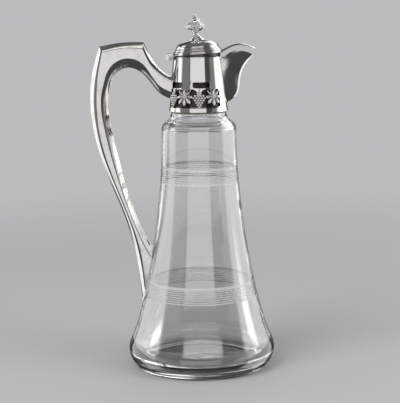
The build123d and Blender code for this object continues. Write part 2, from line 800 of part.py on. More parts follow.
def handle_stations():
    """Where each station crosses the handle, from the collar to the foot."""
    on_collar = [(upper(*a), upper(*b), *bevels) for a, b, *bevels in handle_upper_stations]
    on_glass = [(lower(*a), lower(*b), *bevels) for a, b, *bevels in handle_lower_stations]
    return on_collar + on_glass


def half_width(height, share):
    """Half the handle's thickness at a height: it narrows evenly from foot to collar."""
    rise = (height - 0.25 * collar_rim) / (0.75 * collar_rim)
    full = handle_half_width_foot + (handle_half_width_top - handle_half_width_foot) * rise
    return full * share


def handle_outline(depth, share, inset, thinning):
    """The handle's closed outline at one depth of its bevels (0 ridge, 1 break, 2 flat)."""
    outer = []
    inner = []
    for start, end, outer_bevels, inner_bevels in handle_stations():
        a = Vector(start[0], 0, start[1])
        b = Vector(end[0], 0, end[1])
        along = (b - a).normalized()
        first = a + along * ((0, *outer_bevels)[depth] + inset)
        second = b - along * ((0, *inner_bevels)[depth] + inset)
        for points, point in ((outer, first), (inner, second)):
            width = half_width(point.Z, share) - (thinning if share else 0)
            points.append((point.X, width, point.Z))
    first, second = 4, 6        # stations where the outer line has a sharp corner
    inner.reverse()
    return Face(Wire([
        Spline(*outer[:first + 1]),
        Spline(*outer[first:second + 1]),
        Spline(*outer[second:]),
        Line(outer[-1], inner[0]),
        Spline(*inner),
        Line(inner[-1], outer[0]),
    ]))


def handle_half(inset):
    """One half of the handle, solid, from the ridge on the middle plane out to the flat side."""
    thinning = inset
    outlines = [
        handle_outline(0, 0.0, inset, 0),
        handle_outline(1, ridge_share, inset, 0.4 * thinning),
        handle_outline(2, 1.0, 0.7 * inset, thinning),
    ]
    return loft(outlines, ruled=True)


def bell_core(offset):
    """Everything within an offset from the bell's wall, for trimming the handle's foot."""
    line = wall_line(offset, heel_height, shoulder_height)
    low = line @ 0
    high = line @ 1
    return turned(
        line,
        Polyline((high.X, 0, high.Z), (0, 0, high.Z), (0, 0, low.Z), (low.X, 0, low.Z)),
    )


def vent_tool():
    """The slit that lets the hollow handle breathe, cut square to its bevel over the foot plate."""
    above, below = [inner for _, inner, _, _ in handle_lower_stations[:2]]
    top, foot = [Vector(x, 0, z) for x, z in (lower(*above), lower(*below))]
    seat = handle_foot_gap + foot_plate_thickness
    edge = top + (foot - top) * ((above[0] - seat) / (above[0] - below[0]))
    along = (foot - top).normalized()
    from_glass = Vector(along.Z, 0, -along.X)
    ridge_bevel = handle_lower_stations[0][3][0]
    slope = -half_width(edge.Z, ridge_share) / ridge_bevel
    across = from_glass + Vector(0, slope, 0)
    middle = edge - along * (vent_gap + vent_length / 2) + across * vent_inset
    bevel = Plane(origin=middle, x_dir=along, z_dir=along.cross(across))
    return bevel * Box(vent_length, vent_width, 4 * handle_wall)


def make_handle_shells():
    """Two pressed half shells that meet on the middle plane."""
    outside = handle_half(0)
    hollow = handle_half(handle_wall)
    seat = bell_core(handle_foot_gap + foot_plate_thickness)
    half = outside - hollow - seat - collar_core(0)
    right = largest(half)
    left = largest(mirror(right, about=Plane.XZ) - vent_tool())
    return left, right


def make_foot_layer(low, high):
    """A layer of the handle's foot between two distances from the glass."""
    half = handle_half(0)
    whole = half + mirror(half, about=Plane.XZ)
    return largest((whole & bell_core(high)) - bell_core(low))


# ---- The jug, node by node --------------------------------------------------------------------
def ring_of(shape, angles):
    """Copies of a piece made at angle 0, one at each angle."""
    return Compound(children=[Rot(0, 0, angle) * shape for angle in angles])


def build():
    beak = spout_body(0)
    beak_bore = spout_body(spout_wall)
    spout_bore = make_spout_bore(beak_bore)
    left_shell, right_shell = make_handle_shells()
    plate_out = handle_foot_gap + foot_plate_thickness
    bracket = make_hinge_bracket()
    rim_band = cone_ring(collar_rim - rim_band_height, collar_rim, 0, rim_band_proud)
    nodes = {
        "glass_body": make_glass_body(),
        "neck_cement_upper": make_neck_cement(packing_top - packing_height, packing_top),
        "neck_cement_lower": make_neck_cement(collar_foot + 0.3, frieze_foot - 0.2),
        "collar_sleeve": make_collar_sleeve(spout_bore),
        "collar_rim_band": rim_band - beak - bracket,
        "collar_foot_band": cone_ring(collar_foot, frieze_foot, 0, foot_band_proud),
        "vine_leaves": ring_of(make_vine_leaf(), both_sides(-1, 1)),
        "grape_bunches": ring_of(make_grape_bunch(), both_sides(0, 2)),
        "vine_stems": ring_of(make_vine_stem(), both_sides(-0.5, 0.5, 1.5)),
        "spout_shell": make_spout_shell(beak, beak_bore),
        "spout_lip": make_lip_wire(beak, beak_bore),
        "handle_left_shell": left_shell,
        "handle_right_shell": right_shell,
        "handle_foot_plate": make_foot_layer(handle_foot_gap, plate_out),
        "handle_foot_bed": make_foot_layer(0, handle_foot_gap),
        "hinge_bracket": bracket,
        "hinge_pin": make_hinge_pin(),
        "lid_flange": opened(make_lid_flange()),
        "lid_dome": opened(make_lid_dome()),
        "lid_locating_ring": opened(make_locating_ring()),
        "lid_hinge_leaf": opened(make_hinge_leaf()),
        "finial_ring": opened(make_finial_ring()),
        "finial_calyx": opened(make_finial_calyx()),
        "finial_drop": opened(make_finial_drop()),
        "finial_stud": opened(make_finial_stud()),
        "finial_washer": opened(make_finial_washer()),
        "finial_nut": opened(make_finial_nut()),
    }
    for name, shape in nodes.items():
        export_step(shape, f"parts/{name}.step")


build()
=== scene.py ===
"""Claret jug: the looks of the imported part, in metres, on the frame's own axes."""
import json
from math import cos, pi, radians, sin

import bpy
import numpy as np
from mathutils import Matrix, Vector


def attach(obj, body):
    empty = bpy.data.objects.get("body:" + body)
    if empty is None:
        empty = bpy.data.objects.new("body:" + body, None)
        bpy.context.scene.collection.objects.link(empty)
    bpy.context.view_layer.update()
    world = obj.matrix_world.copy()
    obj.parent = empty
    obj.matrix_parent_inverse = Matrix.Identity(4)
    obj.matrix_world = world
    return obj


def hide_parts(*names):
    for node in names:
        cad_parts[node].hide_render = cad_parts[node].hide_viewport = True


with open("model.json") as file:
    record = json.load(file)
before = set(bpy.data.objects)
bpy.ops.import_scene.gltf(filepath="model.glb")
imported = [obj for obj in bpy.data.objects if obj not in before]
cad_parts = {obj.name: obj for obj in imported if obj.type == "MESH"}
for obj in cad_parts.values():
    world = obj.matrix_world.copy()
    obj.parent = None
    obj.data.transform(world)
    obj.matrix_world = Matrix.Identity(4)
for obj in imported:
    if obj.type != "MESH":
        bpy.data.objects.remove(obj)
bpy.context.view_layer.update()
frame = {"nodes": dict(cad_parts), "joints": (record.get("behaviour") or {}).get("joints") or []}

nodes = frame["nodes"]
hinge = frame["joints"][0]
MM = 0.001

# The part's sizes in millimetres: heights are up from the table, radii out from the jug's axis.
SHOULDER, SHOULDER_RADIUS = 195.0, 30.3         # where the bell's wall turns in to the shoulder
HEEL, HEEL_RADIUS = 21.5, 58.3                  # where it turns in to the rounded heel
GLASS_WALL, NECK_WALL = 2.8, 3.0
GLASS_FLOOR = 5.4                               # height of the floor inside
COLLAR_FOOT, COLLAR_FOOT_RADIUS = 210.1, 23.75
COLLAR_RIM, COLLAR_RIM_RADIUS = 253.5, 19.9
TAPER = (COLLAR_FOOT_RADIUS - COLLAR_RIM_RADIUS) / (COLLAR_RIM - COLLAR_FOOT)
NECK_TOP = COLLAR_FOOT + 28.0                   # inside the collar
NECK_INSET = 1.45                               # from the collar's face in to the glass neck
FRIEZE_FOOT = COLLAR_FOOT + 3.0                 # over the collar's foot band
FRIEZE_TOP = FRIEZE_FOOT + 15.4
LID_FOOT = COLLAR_RIM + 0.3                     # over the shut lid's play
DOME_FOOT = LID_FOOT + 5.4                      # over the lid's rim
HINGE_X, _, HINGE_Z = [value / MM for value in hinge["pos_m"]]
REST_ANGLE = -hinge["range_deg"][0]             # how far the lid stands open at rest, in degrees


# ---- Shader nodes -----------------------------------------------------------------------------
def add_node(tree, kind, **settings):
    """A node of a tree. Each setting is one of its own properties or an input's value."""
    node = tree.nodes.new(kind)
    for key, value in settings.items():
        if hasattr(node, key):
            setattr(node, key, value)
        else:
            node.inputs[key.replace("_", " ").title()].default_value = value
    return node


def join(tree, source, target):
    """A link from one node's output to another's input."""
    tree.links.new(source, target)


def compute(tree, operation, *values):
    """A Math node's result: its values are numbers or other nodes' outputs."""
    node = add_node(tree, "ShaderNodeMath", operation=operation)
    for place, value in enumerate(values):
        if isinstance(value, (int, float)):
            node.inputs[place].default_value = value
        else:
            join(tree, value, node.inputs[place])
    return node.outputs[0]


def smooth_range(tree, value, start, end, low=0.0, high=1.0):
    """A value that goes smoothly from low at start to high at end, and stays there beyond."""
    node = add_node(tree, "ShaderNodeMapRange", interpolation_type="SMOOTHSTEP",
                    From_Min=start, From_Max=end, To_Min=low, To_Max=high)
    join(tree, value, node.inputs["Value"])
    return node.outputs["Result"]


def split_axes(tree, kind="Object"):
    """The x, y and z of a texture coordinate."""
    place = add_node(tree, "ShaderNodeTexCoord")
    split = add_node(tree, "ShaderNodeSeparateXYZ")
    join(tree, place.outputs[kind], split.inputs["Vector"])
    return split.outputs["X"], split.outputs["Y"], split.outputs["Z"]


def add_group(tree, group):
    """A shader group placed in a tree."""
    node = add_node(tree, "ShaderNodeGroup")
    node.node_tree = group
    return node


def mix_shaders(tree, share, first, second):
    """Two shaders by a share: all of the first at 0, all of the second at 1."""
    node = add_node(tree, "ShaderNodeMixShader")
    join(tree, share, node.inputs["Fac"])
    join(tree, first.outputs[0], node.inputs[1])
    join(tree, second.outputs[0], node.inputs[2])
    return node


def new_group(name, inputs, outputs):
    """An empty shader group with named sockets: (name, kind, value) in and (name, kind) out."""
    group = bpy.data.node_groups.new(name, "ShaderNodeTree")
    for socket, kind, value in inputs:
        item = group.interface.new_socket(socket, in_out="INPUT", socket_type=kind)
        item.default_value = value
    for socket, kind in outputs:
        group.interface.new_socket(socket, in_out="OUTPUT", socket_type=kind)
    start = group.nodes.new("NodeGroupInput")
    end = group.nodes.new("NodeGroupOutput")
    return group, start, end


def polish_marks():
    """Fine rubbing marks and cloudy patches of handled metal or glass: a roughness between Low and
    High, a height for a relief, and a patina mask."""
    group, start, end = new_group(
        "polish_marks",
        [("Scale", "NodeSocketFloat", 400.0), ("Low", "NodeSocketFloat", 0.05),
         ("High", "NodeSocketFloat", 0.12)],
        [("Roughness", "NodeSocketFloat"), ("Height", "NodeSocketFloat"), ("Patina", "NodeSocketFloat")],
    )
    place = add_node(group, "ShaderNodeTexCoord")
    cloud = add_node(group, "ShaderNodeTexNoise", scale=55.0, detail=3.0)
    fine = add_node(group, "ShaderNodeTexNoise", detail=2.0)
    stretch = add_node(group, "ShaderNodeMapping", Scale=(1.0, 1.0, 0.18))
    join(group, place.outputs["Object"], cloud.inputs["Vector"])
    join(group, place.outputs["Object"], stretch.inputs["Vector"])
    join(group, stretch.outputs["Vector"], fine.inputs["Vector"])
    join(group, start.outputs["Scale"], fine.inputs["Scale"])
    spread = add_node(group, "ShaderNodeMapRange", From_Min=0.12, From_Max=0.42)
    both = compute(group, "MULTIPLY", cloud.outputs["Fac"], fine.outputs["Fac"])
    join(group, both, spread.inputs["Value"])
    join(group, start.outputs["Low"], spread.inputs["To Min"])
    join(group, start.outputs["High"], spread.inputs["To Max"])
    join(group, spread.outputs["Result"], end.inputs["Roughness"])
    join(group, fine.outputs["Fac"], end.inputs["Height"])
    stain = add_node(group, "ShaderNodeTexNoise", scale=130.0, detail=6.0, roughness=0.7)
    join(group, place.outputs["Object"], stain.inputs["Vector"])
    join(group, smooth_range(group, stain.outputs["Fac"], 0.42, 0.74), end.inputs["Patina"])
    return group


marks = polish_marks()


def new_material(name, **values):
    """A material with one Principled shader, its plain values set on its own sockets."""
    material = bpy.data.materials.new(name)
    material.use_nodes = True
    shader = material.node_tree.nodes["Principled BSDF"]
    for key, value in values.items():
        shader.inputs[key.replace("_", " ")].default_value = value
    return material, material.node_tree, shader


def add_marks(tree, shader, scale, low, high, depth):
    """Rubbing marks on a material: they vary the roughness and, where depth isn't 0, the relief."""
    rub = add_group(tree, marks)
    rub.inputs["Scale"].default_value = scale
    rub.inputs["Low"].default_value = low
    rub.inputs["High"].default_value = high
    join(tree, rub.outputs["Roughness"], shader.inputs["Roughness"])
    if depth:
        bump = add_node(tree, "ShaderNodeBump", Strength=depth, Distance=0.02 * MM)
        join(tree, rub.outputs["Height"], bump.inputs["Height"])
        join(tree, bump.outputs["Normal"], shader.inputs["Normal"])
    return rub


def darken(tree, shader, mask, bright, dark):
    """Base colour between a bright and a dark one by a mask."""
    mix = add_node(tree, "ShaderNodeMix", data_type="RGBA")
    join(tree, mask, mix.inputs["Factor"])
    mix.inputs[6].default_value = (*bright, 1.0)
    mix.inputs[7].default_value = (*dark, 1.0)
    join(tree, mix.outputs[2], shader.inputs["Base Color"])


def make_silver(name, colour, low, high, patina=0.8):
    """Silver whose colour falls by a share, a little warmer, where the patina lies."""
    material, tree, shader = new_material(name, Metallic=1.0)
    rub = add_marks(tree, shader, 900.0, low, high, 0.15)
    tarnished = [value * patina * tint for value, tint in zip(colour, (1.0, 0.98, 0.94))]
    darken(tree, shader, rub.outputs["Patina"], colour, tarnished)
    return material


def recess_shade_mask():
    """Painted shade in the frieze's recesses, by how deep a point lies: 0 on its high places, 1 down at
    the collar's cone. Its lift over the cone is its distance from the axis less the cone's radius at its
    height."""
    group, _, end = new_group("frieze_recess_shade", [], [("Mask", "NodeSocketFloat")])
    x, y, z = split_axes(group)
    square = compute(group, "MULTIPLY_ADD", x, x, compute(group, "MULTIPLY", y, y))
    cone = compute(group, "MULTIPLY_ADD", z, TAPER, -(COLLAR_RIM_RADIUS + TAPER * COLLAR_RIM) * MM)
    lift = compute(group, "ADD", compute(group, "SQRT", square), cone)
    join(group, smooth_range(group, lift, 0.55 * MM, 1.2 * MM, 1.0, 0.0), end.inputs["Mask"])
    return group


def frieze_ground_shade():
    """Painted shade on the collar's ground behind the frieze: 1 between the frieze's foot and top and
    between its two ends round the collar, which are angles from the spout, and 0 elsewhere."""
    front, back, fade = 47, 163, 3
    group, _, end = new_group("frieze_ground_shade", [], [("Mask", "NodeSocketFloat")])
    x, y, z = split_axes(group)
    side = compute(group, "ABSOLUTE", compute(group, "ARCTAN2", y, x))
    inside = 1.0
    for edge in (
        smooth_range(group, z, (FRIEZE_FOOT - 0.1) * MM, (FRIEZE_FOOT + 0.5) * MM),
        smooth_range(group, z, (FRIEZE_TOP - 6.7) * MM, (FRIEZE_TOP - 3.5) * MM, 1.0, 0.0),
        smooth_range(group, side, radians(front - fade), radians(front + fade)),
        smooth_range(group, side, radians(back - fade), radians(back + fade), 1.0, 0.0),
    ):
        inside = compute(group, "MULTIPLY", inside, edge)
    join(group, inside, end.inputs["Mask"])
    return group


def make_masked_silver(name, metallic, low, high, mask, bright, dark):
    """Silver that goes from a bright to a dark colour by a shader group's mask; the dark colour is painted
    shade.
    """
    material, tree, shader = new_material(name, Metallic=metallic)
    add_marks(tree, shader, 900.0, low, high, 0.15)
    darken(tree, shader, add_group(tree, mask).outputs["Mask"], bright, dark)
    return material


def make_glass(name, tint, scale, low, high, clearness=1.0, bend=1.5, **coat):
    """Glass of a tint with rubbing marks. bend is its index of refraction, and coat gives its
    surface more shine than that has by itself."""
    material, tree, shader = new_material(
        name, Base_Color=(*tint, 1.0), Transmission_Weight=clearness, IOR=bend, **coat)
    add_marks(tree, shader, scale, low, high, 0)
    return material


BRIGHT = (0.93, 0.92, 0.895)
silver = make_silver("polished_silver", BRIGHT, 0.05, 0.13)
# Tarnish and painted shade: near-black silver for faces that lie in shade inside the collar and under the
# lid.
shade_tarnish_silver = make_silver("tarnish_and_painted_shade_silver", (0.16, 0.15, 0.14), 0.3, 0.45)
# Painted shade: grey silver for the hinge bracket, which sits back in shadow behind the knuckles.
hinge_shade_silver = make_silver("painted_shade_hinge_silver", (0.50, 0.48, 0.45), 0.18, 0.34, 0.6)
# Polished collar silver with painted shade on its ground behind the frieze.
collar_silver_ground_shade = make_masked_silver(
    "collar_silver_ground_shade", 1.0, 0.05, 0.13, frieze_ground_shade(), BRIGHT, (0.16, 0.14, 0.125))
# Frieze silver with painted shade down in its recesses.
frieze_silver_recess_shade = make_masked_silver(
    "frieze_silver_recess_shade", 0.62, 0.12, 0.22, recess_shade_mask(), (0.98, 0.965, 0.94), (0.10, 0.085, 0.07))

shine = {"Coat_Weight": 1.0, "Coat_IOR": 2.1, "Coat_Roughness": 0.02}
clear_glass = make_glass("clear_glass", (1.0, 1.0, 1.0), 200.0, 0.0, 0.03, **shine)
crystal = make_glass("cut_crystal", (0.80, 0.81, 0.82), 200.0, 0.0, 0.02, bend=1.54, **shine)
base_glass = make_glass("rubbed_base_glass", (1.0, 1.0, 1.0), 1500.0, 0.0, 0.14)
# Painted shade: the glass neck inside the collar tinted dark brown.
neck_glass_shade = make_glass("painted_shade_neck_glass", (0.20, 0.17, 0.15), 300.0, 0.12, 0.3)
cut_glass = make_glass("cut_glass", (0.98, 0.985, 0.99), 600.0, 0.22, 0.42, clearness=0.35,
                       Coat_Weight=1.0, Coat_IOR=1.9, Coat_Roughness=0.1)

cement, _, _ = new_material("white_cement", Base_Color=(0.72, 0.70, 0.66, 1.0), Roughness=0.9)
# Painted shade: near-black for the vent's hole in the handle.
slot_shade, tree, shader = new_material("painted_shade_slot", Base_Color=(0.03, 0.028, 0.025, 1.0))
add_marks(tree, shader, 900.0, 0.5, 0.8, 0)

# Every CAD node takes the finish of its slot.
for node in nodes.values():
    slot = node.data.materials[0].name.split(".")[0]
    node.data.materials[0] = {"glass": clear_glass, "cement": cement}.get(slot, silver)


# ---- Surfaces ---------------------------------------------------------------------------------
def new_object(name, points, faces, materials, picks=None):
    """An object from points in metres and faces as rows of four point numbers, with a -1 in a
    triangle's row. picks gives the number of each face's material."""
    mesh = bpy.data.meshes.new(name)
    rows = np.asarray(faces)
    used = rows >= 0
    sides = used.sum(1)
    mesh.vertices.add(len(points))
    mesh.vertices.foreach_set("co", np.asarray(points, np.float32).ravel())
    mesh.loops.add(int(sides.sum()))
    mesh.loops.foreach_set("vertex_index", rows[used].astype(np.int32))
    mesh.polygons.add(len(rows))
    starts = np.concatenate([[0], np.cumsum(sides)[:-1]])
    mesh.polygons.foreach_set("loop_start", starts.astype(np.int32))
    for material in materials:
        mesh.materials.append(material)
    if picks is not None:
        mesh.polygons.foreach_set("material_index", np.asarray(picks, np.int32))
    mesh.update(calc_edges=True)
    mesh.validate()
    thing = bpy.data.objects.new(name, mesh)
    bpy.context.scene.collection.objects.link(thing)
    return thing


def add_piece(name, points, faces, materials, body="jug", stands_for=(), picks=None):
    """A new smooth piece that rides on a body and stands for CAD nodes."""
    piece = new_object(name, points, faces, materials, picks)
    piece.data.shade_smooth()
    piece.data.set_sharp_from_angle(angle=radians(32))
    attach(piece, body)
    if stands_for:
        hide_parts(*stands_for)
    return piece


def grid_faces(rows, columns, close_rows=False, close_columns=False):
    """Quads between the points of a grid, counted row by row, joined round where asked."""
    down = np.arange(rows if close_rows else rows - 1)
    along = np.arange(columns if close_columns else columns - 1)
    a, b = [part.ravel() for part in np.meshgrid(down, along, indexing="ij")]
    a2, b2 = (a + 1) % rows, (b + 1) % columns
    return np.stack([a * columns + b, a * columns + b2, a2 * columns + b2, a2 * columns + b], 1)


def turned_points(radius, height, sides=192):
    """A profile of radii and heights turned about the jug's axis: (r cos t, r sin t, z)."""
    turn = np.arange(sides) * 2 * pi / sides
    return np.stack([np.outer(radius, np.cos(turn)), np.outer(radius, np.sin(turn)),
                     np.outer(height, np.ones(sides))], -1)


def capped_faces(rings, sides):
    """Faces of a closed tube: rings of points one after another, then the middle point of the
    first ring's cap and that of the last ring's."""
    step = np.arange(sides)
    after = (step + 1) % sides
    none = np.full(sides, -1)
    last = (rings - 1) * sides
    return np.concatenate([
        grid_faces(rings, sides, close_columns=True)[:, ::-1],
        np.stack([step, after, np.full(sides, rings * sides), none], 1),
        np.stack([last + after, last + step, np.full(sides, rings * sides + 1), none], 1),
    ])


def capped_tube(grid):
    """Points and faces of a closed tube: a grid of rings whose ends are fans to their middles."""
    rings, sides, _ = grid.shape
    points = np.concatenate([grid.reshape(-1, 3), [grid[0].mean(0)], [grid[-1].mean(0)]])
    return points, capped_faces(rings, sides)


def turned_shell(radius, height, sides=192):
    """Points and faces of a solid of revolution. Its profile runs up outside and down inside, and
    starts and ends on the axis in single points, so that its poles are closed."""
    grid = turned_points(radius[1:-1], height[1:-1], sides)
    poles = [[0, 0, height[0]], [0, 0, height[-1]]]
    return np.concatenate([grid.reshape(-1, 3), poles]), capped_faces(len(grid), sides)[:, ::-1]


def chord_knots(points):
    """How far along the straight chords each point lies."""
    return np.concatenate([[0], np.cumsum(np.linalg.norm(np.diff(points, axis=0), axis=1))])


def cubic(knots, values, at):
    """Natural cubic interpolation of rows of values given at knots."""
    knots = np.asarray(knots, float)
    values = np.asarray(values, float)
    gap = np.diff(knots)
    size = len(knots)
    matrix = np.eye(size)
    inner = np.arange(1, size - 1)
    matrix[inner, inner - 1] = gap[:-1]
    matrix[inner, inner] = 2 * (gap[:-1] + gap[1:])
    matrix[inner, inner + 1] = gap[1:]
    slope = np.diff(values, axis=0) / gap[:, None]
    right = np.zeros_like(values)
    right[1:-1] = 6 * np.diff(slope, axis=0)
    bend = np.linalg.solve(matrix, right)
    place = np.clip(np.searchsorted(knots, at) - 1, 0, size - 2)
    h = gap[place][:, None]
    left = (knots[place + 1] - at)[:, None]
    done = (at - knots[place])[:, None]
    return (bend[place] * left ** 3 / (6 * h) + bend[place + 1] * done ** 3 / (6 * h)
            + (values[place] / h - bend[place] * h / 6) * left
            + (values[place + 1] / h - bend[place + 1] * h / 6) * done)


def spline(points, count):
    """A natural cubic through points, as many samples as asked, even along the chords."""
    points = np.asarray(points, float)
    knots = chord_knots(points)
    return cubic(knots, points, np.linspace(0, knots[-1], count))


def arc(start, through, end, count):
    """A circle's arc through three points of a plane."""
    a, b, c = [np.asarray(p, float) for p in (start, through, end)]
    system = 2 * np.array([b - a, c - a])
    centre = np.linalg.solve(system, [b @ b - a @ a, c @ c - a @ a])
    turn = np.unwrap([np.arctan2(*(p - centre)[::-1]) for p in (a, b, c)])
    sweep = np.linspace(turn[0], turn[2], count)
    size = np.linalg.norm(a - centre)
    return centre + size * np.stack([np.cos(sweep), np.sin(sweep)], 1)


def gathered(parts):
    """Several lots of points and faces as one."""
    points, faces, start = [], [], 0
    for some, rows in parts:
        points.append(some)
        faces.append(np.where(rows >= 0, rows + start, -1))
        start += len(some)
    return np.concatenate(points), np.concatenate(faces)


# ---- Glass body -------------------------------------------------------------------------------
CLEAR, CUT, NECK, BASE = range(4)               # the glass's four finishes
FLOOR_REACH = 36.0                              # radius of the floor that the mound lies on


def wall_radius(z):
    """The bell, radius over height: R + (H - R) (0.9 d^1.85 + 0.1 d^10), where R is the shoulder's
    radius, H the heel's, and d the depth under the shoulder as a share of the wall's height."""
    depth = np.clip((SHOULDER - z) / (SHOULDER - HEEL), 0, None)
    return SHOULDER_RADIUS + (HEEL_RADIUS - SHOULDER_RADIUS) * (0.9 * depth ** 1.85 + 0.1 * depth ** 10)


def sleeve_radius(z):
    """The collar's cone: the rim's radius, and more by the taper for every step down."""
    return COLLAR_RIM_RADIUS + TAPER * (COLLAR_RIM - z)


def neck_radius(z):
    """The glass neck, at an even distance inside the cone."""
    return sleeve_radius(z) - NECK_INSET


def thread_lines():
    """Heights, widths and depths of the cut lines: two bands of eight, evenly spaced, whose first
    and last lines are the strongest."""
    fine, strong = (0.62, 0.26), (0.95, 0.42)
    lines = []
    for top, foot in ((71.0, 59.3), (165.0, 153.2)):
        heights = np.linspace(top, foot, 8)
        lines += [(z, *fine) for z in heights[1:-1]]
        lines += [(z, *strong) for z in heights[[0, -1]]]
    return np.array(sorted(lines))


def groove_depth(z):
    """How deep the cut lines reach at a height: a V on each, d (1 - |z - middle| / half width)."""
    lines = thread_lines()
    share = 1 - np.abs(z[:, None] - lines[:, 0]) / (lines[:, 1] / 2)
    return (np.clip(share, 0, 1) * lines[:, 2]).max(1)


def shoulder(offset):
    """The shoulder and the foot of the neck, moved in by the thickness of the glass: a smooth
    curve from the end of the wall through two points between to the line of the neck."""
    foot = COLLAR_FOOT - 1.5
    neck = neck_radius(foot)
    rise = foot - SHOULDER
    narrow = SHOULDER_RADIUS - neck
    start = SHOULDER - 0.3 * offset
    points = [
        (wall_radius(start) - offset, start),
        (SHOULDER_RADIUS - 0.26 * narrow - offset, SHOULDER + 0.40 * rise - 0.8 * offset),
        (SHOULDER_RADIUS - 0.76 * narrow - offset, SHOULDER + 0.63 * rise - 0.9 * offset),
        (neck - offset, foot),
    ]
    lead = [(points[0][0], start - 1.0)]
    tail = [(neck - offset - TAPER, foot + 1.0)]
    line = spline(lead + points + tail, 60)
    inside = (line[:, 1] > start) & (line[:, 1] < foot)
    return np.concatenate([[points[0]], line[inside], [points[-1]]])


def foot_line():
    """Under the foot: a hollow, a short slope, and the flat ring that the jug stands on."""
    ring, width, slope, hollow = 54.0, 4.5, 3.0, 1.8
    return np.array([[0, hollow], [30, hollow], [ring - width - slope, hollow], [ring - width, 0.0],
                     [ring, 0.0]])


def neck_lip():
    """The neck's rounded top edge, from its outside to its inside."""
    low = NECK_TOP - NECK_WALL / 2
    outside = neck_radius(low)
    top = (neck_radius(NECK_TOP) - NECK_WALL / 2, NECK_TOP)
    return arc((outside, low), top, (outside - NECK_WALL, low), 9)


def floor_mound():
    """The floor inside, z over the radius r: a low soft mound left from the making, with a faint
    furrow round it, z = f + 0.3 (r / R)^2 + 1.2 exp(-(r / 8)^2) - 0.3 exp(-((r - 14) / 3)^2)."""
    r = np.linspace(FLOOR_REACH, 0, 40)
    mound = 1.2 * np.exp(-(r / 8) ** 2) - 0.3 * np.exp(-((r - 14) / 3) ** 2)
    return np.stack([r, GLASS_FLOOR + 0.3 * (r / FLOOR_REACH) ** 2 + mound], 1)


def glass_profile():
    """The closed outline of the glass, from the axis under the foot, up outside, over the lip of
    the neck and down inside to the axis on the floor. Also gives each point's finish."""
    lines = thread_lines()
    corners = (lines[:, :1] + lines[:, 1:2] * np.array([-0.5, -0.25, 0, 0.25, 0.5])).ravel()
    z = np.unique(np.concatenate([np.linspace(HEEL, SHOULDER, 90)[1:-1], corners]))
    foot = foot_line()
    swell = (HEEL_RADIUS + 2.0, HEEL - 8.2)
    heel = arc(foot[-1] + (1.8, 2.6), swell, (HEEL_RADIUS, HEEL), 26)
    wall = np.stack([wall_radius(z) - groove_depth(z), z], 1)
    inner_shoulder = shoulder(GLASS_WALL)
    inner_z = np.linspace(HEEL - 2.5, inner_shoulder[0, 1], 60)
    inner_wall = np.stack([wall_radius(inner_z) - GLASS_WALL, inner_z], 1)
    corner = inner_wall[0]
    inner_heel = arc(corner, (corner[0] - 2.4, GLASS_FLOOR + 5.0), (corner[0] - 13, GLASS_FLOOR + 0.5), 18)
    floor = floor_mound()
    profile = np.concatenate([
        foot, heel, wall, shoulder(0), neck_lip(), inner_shoulder[::-1], inner_wall[::-1][1:],
        inner_heel[1:], floor,
    ])
    kinds = np.full(len(profile), CLEAR)
    wall_start = len(foot) + len(heel)
    kinds[wall_start:wall_start + len(wall)] = np.where(groove_depth(z) > 0, CUT, CLEAR)
    kinds[profile[:, 1] > COLLAR_FOOT + 0.8] = NECK
    kinds[:len(foot)] = BASE
    kinds[-len(floor):] = BASE
    return profile, kinds


def slide_mound(points):
    """Moves the mound off the middle of the floor, less and less towards the floor's edge."""
    shift, fade = np.array([6.0, -13.0]), 20.0
    height = points[:, 2] / MM
    away = np.hypot(points[:, 0], points[:, 1]) / MM
    on_floor = (height > GLASS_FLOOR - 0.5) & (height < GLASS_FLOOR + 1.4)
    share = np.where(on_floor, np.clip((FLOOR_REACH - away) / fade, 0, 1), 0)
    points[:, :2] += share[:, None] * shift * MM


profile, kinds = glass_profile()
sides = 208
points, faces = turned_shell(profile[:, 0] * MM, profile[:, 1] * MM, sides)
slide_mound(points)
bands = np.maximum(kinds[1:-2], kinds[2:-1])
add_piece("glass_jug", points, faces, [clear_glass, cut_glass, neck_glass_shade, base_glass],
          stands_for=["glass_body"],
          picks=np.concatenate([np.repeat(bands, sides), np.full(2 * sides, BASE)]))


# ---- Collar -----------------------------------------------------------------------------------
def pierced_sleeve():
    """The collar's sleeve with its points merged and its own normals kept, so that the faces that look in
    to the jug's axis can take the dark silver of tarnish and painted shade."""
    source = nodes["collar_sleeve"].data
    co = np.zeros(len(source.vertices) * 3)
    source.vertices.foreach_get("co", co)
    corner = np.zeros(len(source.loops), int)
    source.loops.foreach_get("vertex_index", corner)
    normal = np.zeros(len(source.loops) * 3)
    source.corner_normals.foreach_get("vector", normal)
    co, normal = co.reshape(-1, 3), normal.reshape(-1, 3, 3)
    _, first, place = np.unique(np.round(co, 8), axis=0, return_index=True, return_inverse=True)
    faces = place.ravel()[corner].reshape(-1, 3)
    real = (faces[:, 0] != faces[:, 1]) & (faces[:, 1] != faces[:, 2]) & (faces[:, 0] != faces[:, 2])
    points, faces, normal = co[first], faces[real], normal[real]
    outward = (points[faces].mean(1) * normal.mean(1))[:, :2].sum(1)
    # The faces that look in to the axis take the dark silver, painted shade over the tarnish inside.
    piece = add_piece("pierced_sleeve", points, faces, [collar_silver_ground_shade, shade_tarnish_silver],
                      stands_for=["collar_sleeve"], picks=(outward < -0.002).astype(int))
    piece.data.normals_split_custom_set(normal.reshape(-1, 3))


pierced_sleeve()
# The hinge bracket takes the painted-shade silver.
nodes["hinge_bracket"].data.materials[0] = hinge_shade_silver
# Painted shade: the locating ring takes the dark silver so that the gap under the lid reads dark.
nodes["lid_locating_ring"].data.materials[0] = shade_tarnish_silver


# ---- Handle -----------------------------------------------------------------------------------
HANDLE_CORNERS = (4, 6)                         # stations where the outer line turns sharply


def on_collar(x, rise):
    """A point of the handle's middle plane by its rise over the collar's rim."""
    return x, COLLAR_RIM + rise


def on_glass(stand_off, z):
    """A point of the handle's middle plane by its distance from the bell's wall."""
    return -(wall_radius(z) + stand_off), z


